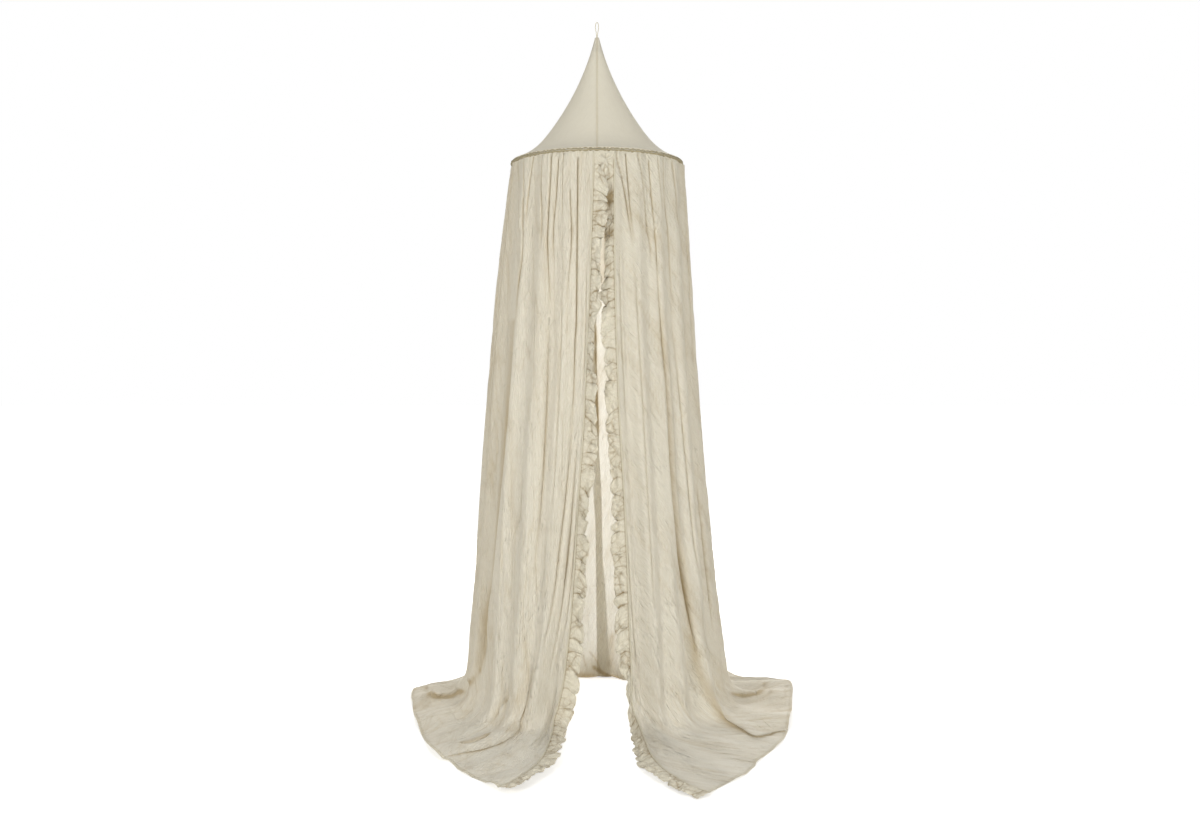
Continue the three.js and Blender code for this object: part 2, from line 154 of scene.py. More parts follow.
def add_node(tree, kind, settings=None, values=None, links=None):
    """Adds one node, sets its options and socket values, and links its inputs to other nodes' outputs. A
    link may also name a node, which then stands for its first output."""
    node = tree.nodes.new(kind)
    for name, value in (settings or {}).items():
        setattr(node, name, value)
    for socket, value in (values or {}).items():
        node.inputs[socket].default_value = value
    for socket, source in (links or {}).items():
        output = source if isinstance(source, bpy.types.NodeSocket) else source.outputs[0]
        tree.links.new(output, node.inputs[socket])
    return node


def blank_tree(owner):
    owner.use_nodes = True
    owner.node_tree.nodes.clear()
    return owner.node_tree


def seen_rays(tree):
    """1 for rays that end in the eye, straight or by way of gloss or glass, and 0 for light's own bounces."""
    path = add_node(tree, "ShaderNodeLightPath")
    first = add_node(tree, "ShaderNodeMath", {"operation": "MAXIMUM"},
                     links={0: path.outputs["Is Camera Ray"], 1: path.outputs["Is Glossy Ray"]})
    both = add_node(tree, "ShaderNodeMath", {"operation": "MAXIMUM"},
                    links={0: first, 1: path.outputs["Is Transmission Ray"]})
    return both


# %% Floor
floor_reach = 30
floor_white = "ffffff"
floor_bounce = "d9d9d6"
floor_lit_share = 0.85
own_light_inside = 0.635
own_light_round_foot = 0.29
own_light_far_out = 0.74
# distances from the canopy's axis, where the rings are narrower to the front than to the side
from_inside, to_foot = 0.25, 0.75
from_foot, to_far_out = 0.9, 1.8
ring_squash = (1, 0.6, 0)
ring_shift = (0, -0.06, 0)

floor_mesh = bpy.data.meshes.new("studio_floor")
corners = [(x, y, floor_level) for x, y in
           ((-floor_reach, -floor_reach), (floor_reach, -floor_reach),
            (floor_reach, floor_reach), (-floor_reach, floor_reach))]
floor_mesh.from_pydata(corners, [], [(0, 1, 2, 3)])
studio_floor = bpy.data.objects.new("studio_floor", floor_mesh)
bpy.context.scene.collection.objects.link(studio_floor)

floor_paint = bpy.data.materials.new("matt white studio floor")
tree = blank_tree(floor_paint)
bounce = add_node(tree, "ShaderNodeBsdfDiffuse", values={"Color": linear(floor_bounce)})
lit = add_node(tree, "ShaderNodeBsdfDiffuse", values={"Color": (*[floor_lit_share] * 3, 1)})
place = add_node(tree, "ShaderNodeTexCoord").outputs["Object"]
ring_place = add_node(tree, "ShaderNodeVectorMath", {"operation": "MULTIPLY_ADD"},
                      {1: ring_squash, 2: ring_shift}, {0: place})
away = add_node(tree, "ShaderNodeVectorMath", {"operation": "LENGTH"}, links={0: ring_place})
near = add_node(tree, "ShaderNodeMapRange", {"interpolation_type": "SMOOTHSTEP"},
                {1: from_inside, 2: to_foot, 3: own_light_inside, 4: own_light_round_foot},
                {0: away.outputs["Value"]})
far = add_node(tree, "ShaderNodeMapRange", {"interpolation_type": "SMOOTHSTEP"},
               {1: from_foot, 2: to_far_out, 3: 0, 4: own_light_far_out - own_light_round_foot},
               {0: away.outputs["Value"]})
own_light = add_node(tree, "ShaderNodeMath", {"operation": "ADD"}, links={0: near, 1: far})
glow = add_node(tree, "ShaderNodeEmission", values={"Color": linear(floor_white)},
                links={"Strength": own_light})
shown = add_node(tree, "ShaderNodeAddShader", links={0: lit, 1: glow})
floor_mix = add_node(tree, "ShaderNodeMixShader", links={0: seen_rays(tree), 1: bounce, 2: shown})
add_node(tree, "ShaderNodeOutputMaterial", links={"Surface": floor_mix})
floor_mesh.materials.append(floor_paint)
print("floor at", round(floor_level, 3))

# %% World and lamps
world_light = 0.45
world = bpy.data.worlds.new("white studio")
bpy.context.scene.world = world
tree = blank_tree(world)
around = add_node(tree, "ShaderNodeBackground", values={"Color": linear("fffefb"), "Strength": world_light})
behind = add_node(tree, "ShaderNodeBackground", values={"Color": linear(floor_white), "Strength": 1})
world_mix = add_node(tree, "ShaderNodeMixShader", links={0: seen_rays(tree), 1: around, 2: behind})
add_node(tree, "ShaderNodeOutputWorld", links={"Surface": world_mix})


def add_lamp(name, place, aim, size, power, colour="fffdf8"):
    """A square soft box at place that faces aim."""
    data = bpy.data.lights.new(name, "AREA")
    data.size = size
    data.energy = power
    data.color = linear(colour)[:3]
    lamp = bpy.data.objects.new(name, data)
    lamp.location = place
    facing = np.array(aim, float) - np.array(place, float)
    lamp.rotation_euler = Vector(facing).to_track_quat("-Z", "Y").to_euler()
    bpy.context.scene.collection.objects.link(lamp)
    return lamp


middle_height = floor_level / 2
canopy_middle = (0, 0, middle_height)
add_lamp("left_soft_box", (-1.9, -3.1, middle_height + 0.5), canopy_middle, 1.2, 52)
add_lamp("right_soft_box", (1.9, -3.1, middle_height + 0.3), canopy_middle, 1.4, 54)
# the back lamp is the light that comes through the cloth
add_lamp("back_soft_box", (0.3, 3.2, middle_height + 0.45), canopy_middle, 2.4, 138, "ffffff")
bpy.context.scene.view_settings.view_transform = "Standard"
print(len(bpy.data.lights), "lamps")

# %% [markdown]
# ## Helpers for cloth
#
# Cloth that hangs in folds could be simulated, but a photograph of one settled drape is easier to match
# by formula: each fold is put where it lies. The curtain is a grid of points. One direction runs
# round the canopy, the other runs down the cloth. Whole arrays are worked out at once with numpy,
# and a grid becomes a mesh with quads.
#
# Each grid also gets a UV map in real metres of flat cloth, so that a pattern on it has one scale
# everywhere and follows the cloth through its folds.

# %% Curves and soft noise
def mix(low, high, share):
    return low + (high - low) * share


def ease(share):
    s = np.clip(share, 0, 1)
    return s * s * (3 - 2 * s)


def unit(vectors):
    return vectors / np.maximum(np.linalg.norm(vectors, axis=-1, keepdims=True), 1e-12)


def along_points(points, share):
    """Catmull-Rom curve through points, at shares of their count from 0 to 1."""
    points = np.asarray(points, float)
    padded = np.vstack([2 * points[0] - points[1], points, 2 * points[-1] - points[-2]])
    place = np.clip(share, 0, 1) * (len(points) - 1)
    first = np.minimum(place.astype(int), len(points) - 2)
    t = (place - first)[..., None]
    before, start, end, after = (padded[first + k] for k in range(4))
    slope_in, slope_out = (end - before) / 2, (after - start) / 2
    bend = 2 * start - 2 * end + slope_in + slope_out
    sweep = 3 * end - 3 * start - 2 * slope_in - slope_out
    return start + t * (slope_in + t * (sweep + t * bend))


def bell(values, middle, width, power=2):
    """1 at the middle, and about a third at a width from it."""
    return np.exp(-((values - middle) / width) ** power)


def soft_noise(u, v, size_u, size_v, seed):
    """Smooth random values from -1 to 1 over patches of size_u by size_v."""
    across, down = 97, 89
    start = 40
    table = np.random.default_rng(seed).uniform(-1, 1, (across, down))
    x, y = np.asarray(u) / size_u + start, np.asarray(v) / size_v + start
    column, row = np.floor(x).astype(int), np.floor(y).astype(int)
    s, t = ease(x - column), ease(y - row)
    corner = [[table[(column + i) % across, (row + j) % down] for j in (0, 1)] for i in (0, 1)]
    return mix(mix(corner[0][0], corner[1][0], s), mix(corner[0][1], corner[1][1], s), t)


def fine_creases(u, v, size_u, size_v, seed, sharpness=7):
    """Narrow valleys, 0 to -1 deep, that wander over the cloth and fade in and out."""
    lines = (1 - np.abs(soft_noise(u, v, size_u, size_v, seed))) ** sharpness
    return -lines * ease(0.5 + soft_noise(u, v, 2.3 * size_u, 1.7 * size_v, seed + 50))


def cell_borders(u, v, size_u, size_v, seed):
    """Crumples as cells round random points: how far each place is from its cell's point, in cells, and
    how far it is from the nearest border between two cells, in metres."""
    margin_cells = 1.5
    search_cells = 2.2
    random = np.random.default_rng(seed)
    u, v = np.broadcast_arrays(u, v)
    columns = int((u.max() - u.min()) / size_u) + 4
    rows = int((v.max() - v.min()) / size_v) + 4
    spots = np.stack(np.meshgrid(np.arange(columns), np.arange(rows), indexing="ij"), -1).reshape(-1, 2)
    spots = spots + random.uniform(0.05, 0.95, spots.shape) - margin_cells
    place = np.stack([(u - u.min()) / size_u, (v - v.min()) / size_v], -1).reshape(-1, 2)
    nearest, next_one = np.full(len(place), 9.0), np.full(len(place), 9.0)
    for spot in spots:
        near = np.nonzero((np.abs(place - spot) < search_cells).all(-1))[0]
        gap = np.hypot(*(place[near] - spot).T)
        closer = gap < nearest[near]
        next_one[near] = np.where(closer, nearest[near], np.minimum(next_one[near], gap))
        nearest[near] = np.minimum(nearest[near], gap)
    return nearest.reshape(u.shape), ((next_one - nearest) / 2 * min(size_u, size_v)).reshape(u.shape)


print("soft noise:", soft_noise(np.linspace(0, 1, 5), 0, 0.3, 1, 0).round(2).tolist())


# %% Grids and meshes of cloth
def grid_frame(points):
    """Unit vectors along the columns' and the rows' way and square to both, at each grid point."""
    across = unit(np.gradient(points, axis=1))
    down = unit(np.gradient(points, axis=0))
    return across, down, unit(np.cross(across, down))


def add_mesh(name, points, faces, uv=None, shade=None):
    """A smooth mesh of points and quads, with a UV and a fold shade for each point if given."""
    mesh = bpy.data.meshes.new(name)
    mesh.vertices.add(len(points))
    mesh.vertices.foreach_set("co", np.ascontiguousarray(points, np.float32).ravel())
    mesh.loops.add(faces.size)
    mesh.loops.foreach_set("vertex_index", np.ascontiguousarray(faces, np.int32).ravel())
    mesh.polygons.add(len(faces))
    mesh.polygons.foreach_set("loop_start", np.arange(0, faces.size, faces.shape[1], dtype=np.int32))
    mesh.update(calc_edges=True)
    mesh.validate()
    mesh.polygons.foreach_set("use_smooth", np.full(len(mesh.polygons), True))
    if uv is not None:
        layer = mesh.uv_layers.new(name="cloth_metres")
        layer.data.foreach_set("uv", np.ascontiguousarray(uv[faces.ravel()], np.float32).ravel())
    if shade is not None:
        attribute = mesh.attributes.new("fold_shade", "FLOAT", "POINT")
        attribute.data.foreach_set("value", shade.astype(np.float32).ravel())
    piece = bpy.data.objects.new(name, mesh)
    bpy.context.scene.collection.objects.link(piece)
    return piece


def grid_faces(rows, columns, around=False):
    """Quads over a grid, with the grid closed on itself the columns' way if around."""
    span = columns if around else columns - 1
    row, column = np.meshgrid(np.arange(rows - 1), np.arange(span), indexing="ij")
    here, beside = row * columns + column, row * columns + (column + 1) % columns
    return np.stack([here, beside, beside + columns, here + columns], -1).reshape(-1, 4)


def sheet_mesh(name, points, uv, shade=None):
    """One layer of cloth."""
    rows, columns = points.shape[:2]
    return add_mesh(name, points.reshape(-1, 3), grid_faces(rows, columns), uv.reshape(-1, 2), shade)


def band_mesh(name, points, uv, thickness, shade=None):
    """A closed band of cloth of this thickness round a grid of points."""
    rows, columns = points.shape[:2]
    normal = grid_frame(points)[2] * thickness / 2
    both = np.concatenate([(points + normal).reshape(-1, 3), (points - normal).reshape(-1, 3)])
    top = grid_faces(rows, columns)
    rim = np.concatenate([np.arange(columns), np.arange(2 * columns - 1, rows * columns, columns),
                          np.arange(rows * columns - 2, (rows - 1) * columns - 1, -1),
                          np.arange((rows - 2) * columns, 0, -columns)])
    under = rows * columns
    ahead = np.roll(rim, -1)
    sides = np.stack([rim, rim + under, ahead + under, ahead], -1)
    faces = np.concatenate([top, top[:, ::-1] + under, sides])
    both_shades = None if shade is None else np.concatenate([shade.ravel()] * 2)
    return add_mesh(name, both, faces, np.concatenate([uv.reshape(-1, 2)] * 2), both_shades)


# %% [markdown]
# ## The curtain's main form
#
# The cloth leaves the hoop as a circle and reaches the floor as a wider, rounder line, the foot. Past
# the foot it turns over in a soft bend and lies out to the hem. Both lines are smooth curves through
# a few given points. Between hoop and foot the cloth doesn't fall dead straight: it bellies
# out a little, which the photograph shows as the slight flare under the hoop.
#
# On that form lie some twenty broad folds, and a few long creases of their own: the puffed ridges
# where the train was dragged into place. They are part of the main form because the frame has them
# too.

# %% Outline of the foot and the hem, and the long creases
foot_half_width = 0.381
foot_shares = [
    (-0.236, -0.769), (-0.474, -0.897), (-0.705, -0.769), (-0.897, -0.462), (-0.995, -0.077),
    (-0.954, 0.256), (-0.744, 0.513), (-0.41, 0.654), (-0.013, 0.692), (0.41, 0.654),
    (0.744, 0.526), (0.954, 0.282), (1.005, -0.077), (0.903, -0.462), (0.718, -0.769),
    (0.487, -0.897), (0.244, -0.769),
]
hem_half_width = 0.575
hem_shares = [
    (-0.426, -1.325), (-0.6, -1.113), (-0.739, -0.835), (-0.838, -0.53), (-0.925, -0.157),
    (-0.957, 0.174), (-0.765, 0.374), (-0.504, 0.835), (0, 1.078), (0.504, 0.87),
    (0.783, 0.426), (1.03, 0.322), (0.986, -0.104), (0.89, -0.565), (0.774, -0.87),
    (0.635, -1.157), (0.438, -1.417),
]
belly_shares = [(-0.16, -0.16), (0.17, -0.03), (0, 0), (0, -0.16), (-0.43, 0.05)]

opening_width = 0.055
opening_offset = 0.0195
edge_bow = 0.056
edge_bow_share = 0.12
bend_height = 0.085
bend_reach = 0.075
train_puff = 0.009
hang_share = 0.72
train_share = 0.8
cloth_lift = 0.001

fold_count = 20
fold_sizes = (0.004, 0.009, 0.011, 0.011, 0.005)
wander_count = 3
wander_share = 0.14
crease_height = 0.03
ridge_creases = [
    ([(0.1, 0.152), (0.6, 0.152), (0.95, 0.156)], (-0.2, -0.5, -0.3), 0.012),
    ([(0.49, 0.02), (0.64, 0.037), (0.78, 0.0725), (1, 0.115)], (0, 0.3, 1, 0.8), 0.018),
    ([(0.8, 0.19), (0.9, 0.19), (1, 0.19)], (0.25, 0.8, 0.3), 0.022),
    ([(0.82, 0.26), (0.88, 0.26), (1, 0.28)], (0.1, 0.9, 0.2), 0.02),
    ([(0.1, 0.92), (0.6, 0.896), (0.78, 0.858), (1, 0.825)], (-0.2, -0.5, -0.5, -0.2), 0.014),
    ([(0.64, 0.86), (0.78, 0.83), (1, 0.79)], (0, 0.8, 0.9), 0.02),
    ([(0.82, 0.74), (0.88, 0.74), (1, 0.72)], (0.1, 0.9, 0.2), 0.02),
]
print(fold_count, "broad folds and", len(ridge_creases), "long creases")

# %% One row of the curtain
left_edge_angle = (opening_offset - opening_width / 2) / hoop_radius
right_edge_angle = (opening_offset + opening_width / 2) / hoop_radius - 2 * math.pi
bend_start = 1 - bend_height / drop


def foot_point(share):
    return along_points(foot_shares, share) * foot_half_width


def hem_point(share):
    return along_points(hem_shares, share) * hem_half_width


def hang_point(share, fall):
    """Plan place of the hanging cloth after a share of its fall."""
    angle = mix(left_edge_angle, right_edge_angle, share)
    start = np.stack([np.sin(angle), -np.cos(angle)], -1) * hoop_radius
    quarter = np.clip(share, 0, 1) * (len(belly_shares) - 1)
    first = np.minimum(quarter.astype(int), len(belly_shares) - 2)
    high, low = (mix(np.array(belly_shares)[first, k], np.array(belly_shares)[first + 1, k],
                     ease(quarter - first)) for k in (0, 1))
    reach = fall + math.sin(math.pi * fall) * mix(high, low, fall)
    return start + (foot_point(share) - start) * reach[..., None]


def train_point(share, way):
    """Plan place on the floor, from the foot at 0 to the hem at 1, bowed at the two front edges."""
    point = mix(foot_point(share), hem_point(share), way[..., None])
    inside = np.clip(share, 0, 1)
    from_left = np.maximum(0, 1 - inside / edge_bow_share) ** 2
    from_right = np.maximum(0, 1 - (1 - inside) / edge_bow_share) ** 2
    bow = 4 * way * (1 - way) * edge_bow
    return point + np.stack([bow * (from_left - from_right), -bow * (from_left + from_right) / 2], -1)


def fold_rise(share, run, on_floor):
    """How far the broad folds and the long creases stand out from the plain form."""
    wander = wander_share * np.sin(2 * np.pi * wander_count * share)
    wave = np.cos(2 * np.pi * (fold_count * share + wander))
    size = np.interp(run, (0, hang_share / 2, hang_share, train_share, 1), fold_sizes)
    puff = on_floor * train_puff * (1 - run) / (1 - train_share)
    rise = size * (wave + on_floor) + puff
    for line, rises, width in ridge_creases:
        places, shares = zip(*line)
        if run >= places[0]:
            offset = (share - np.interp(run, places, shares)) / width
            rise += crease_height * np.interp(run, places, rises) * np.exp(-offset ** 2)
    return np.maximum(0, rise) if on_floor == 1 else rise


def curtain_row(share, run):
    """Middle of the cloth along one row."""
    share = np.asarray(share, float)
    floor_middle = floor_level + cloth_lift
    reach = bend_reach / np.linalg.norm(foot_point(share) - hem_point(share), axis=-1)
    turned = 0.0
    if run < hang_share:
        fall = run / hang_share * bend_start
        plan, level = hang_point(share, fall), curtain_top - fall * drop
    elif run < train_share:
        turned = (run - hang_share) / (train_share - hang_share)
        parts = ((1 - turned) ** 2, 2 * turned * (1 - turned), turned ** 2)
        stops = (hang_point(share, bend_start), hang_point(share, 1.0), train_point(share, reach))
        levels = (curtain_top - bend_start * drop, floor_middle, floor_middle)
        plan = sum(part * stop for part, stop in zip(parts, stops))
        level = sum(part * stop for part, stop in zip(parts, levels))
    else:
        turned = 1.0
        plan = train_point(share, mix(reach, 1, (run - train_share) / (1 - train_share)))
        level = floor_middle
    middle = np.concatenate([plan, np.full((len(share), 1), level)], -1)
    out = unit(middle * (1, 1, 0)) * (1 - ease(turned))
    out[:, 2] = ease(turned)
    return middle + unit(out) * fold_rise(share, run, float(ease(turned)))[:, None]


def curtain_grid(shares, runs):
    return np.stack([curtain_row(shares, run) for run in runs])


print("foot, front to back:", np.round(foot_point(np.array([0, 0.25, 0.5])), 3).tolist())

# %% [markdown]
# ## The two halves of the curtain
#
# Each half is one layer of cloth, from its front edge to the middle of the back. A single layer is
# enough here: the cloth is a millimetre thick, and light has to pass through it as through one sheet.
# Its thickness only shows at the edges, and those get folded bindings and hems of their own.
#
# The columns are closest at the front, where the camera looks, and the rows are closest where the
# cloth turns onto the floor.

# %% Plain grids of the two halves
fine_share = 0.2
fine_columns = 300
plain_columns = 180
hanging_rows = 118
lying_rows = 86

runs = np.concatenate([np.linspace(0, hang_share, hanging_rows, endpoint=False),
                       np.linspace(hang_share, 1, lying_rows)])
from_edge = np.concatenate([np.linspace(0, fine_share, fine_columns, endpoint=False),
                            np.linspace(fine_share, 0.5, plain_columns)])
flat_hoop_width = 0.84
flat_hem_width = 1.78
flat_length = 2.05


def plain_half(shares, sign, edge):
    """Everything that the folds of one half are worked out from. sign is 1 on the left half and -1 on the
    right one, and edge is the column of its front edge."""
    points = curtain_grid(shares, runs)
    across, down, normal = grid_frame(points)
    steps_down = np.linalg.norm(np.diff(points, axis=0), axis=-1)
    length = np.concatenate([np.zeros((1, len(shares))), np.cumsum(steps_down, axis=0)])
    width = 2 * shares * mix(flat_hoop_width, flat_hem_width, np.minimum(1, length / flat_length))
    column, row = pixel_of(points)
    eye = np.array([0, -camera_distance, floor_level + camera_height])
    seen = ((eye - points) * normal).sum(-1) > 0
    return {"sign": sign, "edge": edge, "shares": shares, "around": np.minimum(shares, 1 - shares),
            "points": points, "across": across, "normal": normal, "uv": np.stack([width, length], -1),
            "column": column, "row": row, "seen": seen,
            "shift": np.zeros_like(points), "shade": np.zeros(points.shape[:2])}


halves = {"left": plain_half(from_edge, 1, 0), "right": plain_half(1 - from_edge[::-1], -1, -1)}
widths_of_half = ("front", "side", "back")
for side, half in halves.items():
    hem_length = float(np.linalg.norm(np.diff(half["points"][-1], axis=0), axis=1).sum())
    print(side, "hem", round(hem_length, 3), "m along the plain form")
    print(side, half["points"].shape, "longest column", round(float(half["uv"][-1, :, 1].max()), 3), "m")

# %% How far the frame's own curtain lies from the formula
from mathutils.bvhtree import BVHTree

for side, half in halves.items():
    rows, columns = half["points"].shape[:2]
    form = BVHTree.FromPolygons(half["points"].reshape(-1, 3).tolist(), grid_faces(rows, columns).tolist())
    for width in widths_of_half:
        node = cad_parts[f"{side}_{width}_curtain"]
        far = max(form.find_nearest(v.co)[3] for v in node.data.vertices)
        print(f"{node.name}: furthest vertex {far * 1000:.1f} mm from the middle of the cloth")

# %% [markdown]
# ## Creases and tucks
#
# A crease is a line on the cloth. Beside the line the cloth moves in two ways: along its own normal,
# and sideways, towards the line or over it. A tuck sinks in and its walls are drawn together, and shade
# is painted along its bottom, which gives the narrow dark line of gathered cloth. A lip is a layer of
# cloth that lies on the next one: one side of the line is lifted and slides a little way over the other,
# and shade is painted on the cloth under it. A band is painted shade alone, where the cloth is turned
# away from the light or lies several layers deep.
#
# The lines that the photograph shows are written in its pixels, traced from enlarged crops, and
# each is carried back onto the nearest cloth that faces the camera. Those it can't show, round the
# sides and the back, are placed by share of the way round with a fixed random seed.

# %% Lines on the cloth
behind_penalty = 60
line_step = 0.012


def seen_at(half, places):
    """Points of the plain cloth that face the camera at these pixels, and the nearest one of several."""
    rows, columns = np.nonzero(half["seen"])
    found = []
    for column, row in places:
        miss = (half["column"][rows, columns] - column) ** 2 + (half["row"][rows, columns] - row) ** 2
        near = np.argmin(miss + behind_penalty * half["points"][rows, columns, 1])
        found.append(half["points"][rows[near], columns[near]])
    return np.array(found)


def cloth_at(half, places):
    """Points of the plain cloth at these pairs of (share of the length, share of the way round)."""
    found = []
    for run, share in places:
        row = np.interp(run, runs, np.arange(len(runs)))
        column = np.interp(share, half["shares"], np.arange(len(half["shares"])))
        found.append(half["points"][int(round(row)), int(round(column))])
    return np.array(found)


def from_line(half, line, reach):
    """Grid indices within reach of a line, with their signed distance to its side, their distance, the
    share of the way along the line, and the side's direction. Going down the cloth, the side is the right."""
    steps = max(8, int(np.linalg.norm(np.diff(line, axis=0), axis=1).sum() / line_step))
    path = along_points(line, np.linspace(0, 1, steps))
    points = half["points"]
    low, high = path.min(0) - reach, path.max(0) + reach
    rows, columns = np.nonzero(((points > low) & (points < high)).all(-1))
    place = points[rows, columns]
    start, step = path[:-1], np.diff(path, axis=0)
    ahead = np.einsum("vsk,sk->vs", place[:, None] - start[None], step) / (step ** 2).sum(-1)
    nearest = start + np.clip(ahead, 0, 1)[..., None] * step
    gap = np.linalg.norm(place[:, None] - nearest, axis=-1)
    best = gap.argmin(1)
    pick = np.arange(len(best))
    side = unit(np.cross(half["normal"][rows, columns], step[best]))
    distance = ((place - nearest[pick, best]) * side).sum(-1)
    share = (best + np.clip(ahead[pick, best], 0, 1)) / len(step)
    near = gap[pick, best] < reach
    return rows[near], columns[near], distance[near], gap[pick, best][near], share[near], side[near]


def at_share(values, share):
    """Values given along a line, read at these shares of the way along it."""
    values = np.atleast_1d(values).astype(float)
    return np.interp(share, np.linspace(0, 1, len(values)), values)


print("steps along a line:", line_step * 1000, "mm")

# %% Tucks
tuck_pinch = 0.55
tuck_full_shade = 0.011
tuck_most_shade = 0.9
pinched_from = 0.004
shoulder_rise = 0.35
shoulder_place = 1.9
tuck_shade_width = 0.75


def shift_points(half, rows, columns, along_normal, sideways, side):
    """Moves points of a half along its normal and sideways."""
    half["shift"][rows, columns] += (along_normal[:, None] * half["normal"][rows, columns]
                                     + sideways[:, None] * side)


def tuck(half, line, depths, widths, full_shade=tuck_full_shade):
    """Sinks a tuck along a line, with depths and half widths given along it, draws its walls together and
    paints shade along it. full_shade is the depth of a tuck whose painted shade is full."""
    rows, columns, x, gap, share, side = from_line(half, line, 4 * float(np.max(widths)))
    width, depth = at_share(widths, share), at_share(depths, share)
    well = np.exp(-(gap / width) ** 2)
    shoulder = np.exp(-((np.abs(x) - shoulder_place * width) / width) ** 2 - (gap ** 2 - x ** 2) / width ** 2)
    drawn = np.exp(0.5 - 0.5 * (gap / width) ** 2) * np.minimum(1, depth / pinched_from)
    sunk = depth * (shoulder_rise * shoulder - well)
    shift_points(half, rows, columns, sunk, -tuck_pinch * x * drawn, side)
    # painted shade along the bottom of the tuck
    dark = np.minimum(tuck_most_shade, depth / full_shade)
    half["shade"][rows, columns] += dark * bell(gap, 0, tuck_shade_width * width)


print("full shade in a tuck from", tuck_full_shade * 1000, "mm down")

# %% Lips and bands of shade
lip_steepness = 1.8
lip_full_shade = 0.012


def lip(half, line, lifts, width, over, reach):
    """Lifts the right side of a line, and slides it over the left side. reach is how far the lift carries."""
    rows, columns, x, gap, share, side = from_line(half, line, max(4 * width, 2.2 * reach))
    lift = at_share(lifts, share)
    step = 0.5 + 0.5 * np.tanh(lip_steepness * x / width)
    past_ends = np.exp(-np.maximum(gap ** 2 - x ** 2, 0) / (2 * width) ** 2)
    carried = lift * step * past_ends
    along_normal = carried * bell(np.maximum(x, 0), 0, reach)
    shift_points(half, rows, columns, along_normal, -over * carried * bell(x, 0, 2.2 * width), side)
    if over > 0:
        # the painted shade is narrow under the lip, and fades slowly over the cloth beside it
        from_lip = x + 0.9 * width
        below = np.exp(-(from_lip / np.where(from_lip > 0, 0.7, 1.8) / width) ** 2)
        half["shade"][rows, columns] += np.minimum(1, lift / lip_full_shade) * below * past_ends


def shade_band(half, line, strengths, left_width, right_width):
    """Paints shade in a broad band along a line where the cloth lies turned away from the light or several
    layers deep.
    """
    rows, columns, x, gap, share, side = from_line(half, line, 1.8 * max(left_width, right_width))
    past_ends = np.maximum(gap ** 2 - x ** 2, 0) / right_width ** 2
    fade = np.exp(-(x / np.where(x > 0, right_width, left_width)) ** 2 - past_ends)
    half["shade"][rows, columns] += at_share(strengths, share) * fade


print("full shade under a lip from", lip_full_shade * 1000, "mm up")

# %% Tucks that the photograph shows, in its pixels
left_tucks = [
    ([(518, 166), (517.5, 214), (519, 244)], 4, 8),
    ([(522, 200), (522, 254), (518, 287), (515.4, 330)], 9, 9),
    ([(524, 164), (523.6, 206), (523, 244)], 4, 7),
    ([(533.6, 158), (528, 198), (526, 226)], 6, 5),
    ([(541, 157), (540.5, 190), (541, 220), (539, 258)], 5, 5),
    ([(551, 156), (550, 191), (547.6, 234), (548, 260), (549.6, 287), (549, 314)], 8, 6),
    ([(558, 160), (556.6, 191), (553.5, 229), (553.6, 267)], 6, 5),
    ([(563, 157), (562.5, 190), (561.5, 225)], 5, 4),
    ([(570, 191), (571.7, 234), (570, 267), (567, 300)], 7, 6),
    ([(578, 163), (577.7, 220), (576.4, 314), (575, 345), (574, 396), (571.5, 422)], 8, 6),
    ([(574, 396), (569.6, 460), (566, 500), (562, 532), (559.6, 557), (555, 589), (551, 621), (540, 665)],
     7, 8),
    ([(549, 314), (547, 400), (543, 480), (537, 560)], 6, 10),
    ([(562, 270), (560, 360), (556, 450), (551, 520)], 5, 9),
    ([(583, 420), (578, 500), (571, 580), (562, 650)], 5, 5),
    ([(577, 440), (571, 520), (563, 600), (553, 665)], 6, 6),
    ([(568, 560), (560, 620), (549, 680)], 5, 5),
    ([(586, 250), (585, 330), (582, 400)], 4, 5),
]
right_tucks = [
    ([(616.5, 158), (624, 191), (628.6, 220), (633, 246)], 7, 5),
    ([(626, 155), (630, 207), (635, 244)], 6, 4),
    ([(637.5, 154), (643, 187), (646.7, 220), (650, 247), (650.7, 267)], 7, 5),
    ([(649, 165), (652, 204), (655.4, 240), (657.4, 267), (658.7, 300), (660.8, 327)], 7, 6),
    ([(658.4, 158), (661.5, 191), (664, 225)], 4, 5),
    ([(664, 160), (665.4, 200), (668, 234), (670, 267), (672, 294), (675.5, 319)], 4.5, 7),
    ([(672.5, 163), (676, 196), (679, 221), (681.5, 250)], 4, 8),
    ([(655, 240), (661, 320), (668, 400), (672, 485), (676, 532), (683, 579), (690, 622), (699, 662)], 15,
     11),
    ([(670, 300), (680, 400), (688, 480), (697, 560), (708, 630)], 5, 10),
    ([(633, 246), (639, 340), (645, 440), (650, 540), (655, 620)], 5, 10),
    ([(621, 420), (626, 520), (633, 620), (641, 690)], 4, 6),
    ([(620, 250), (622, 340), (627, 430)], 4, 5),
    ([(697, 480), (705, 560), (713, 630)], 8, 8),
]
pleat_row = 215
slanted_columns = 50
slanted_depth = 0.45
usual_depth = 1.2
pleat_full_shade = 0.00625
pleat_depths = np.array([1, 0.9, 0.55, 0])
pleat_widths = np.array([0.6, 0.65, 1.1])
fold_depths = np.array([0, 0.8, 1, 0.8, 0])
fold_widths = np.array([0.8])

for half, lines in ((halves["left"], left_tucks), (halves["right"], right_tucks)):
    for line, depth, width in lines:
        from_hoop = line[0][1] < pleat_row
        # seen at a slant a pleat stays shallow, or its near wall hides it
        slanted = from_hoop and abs(line[0][0] - axis_column) > slanted_columns
        deeper = slanted_depth if slanted else usual_depth
        depths, widths = (pleat_depths, pleat_widths) if from_hoop else (fold_depths, fold_widths)
        full_shade = pleat_full_shade * deeper if from_hoop else tuck_full_shade
        tuck(half, seen_at(half, line), deeper * (depths * depth) / 1000, widths * width / 1000, full_shade)
print(len(left_tucks), "tucks on the left half and", len(right_tucks), "on the right")

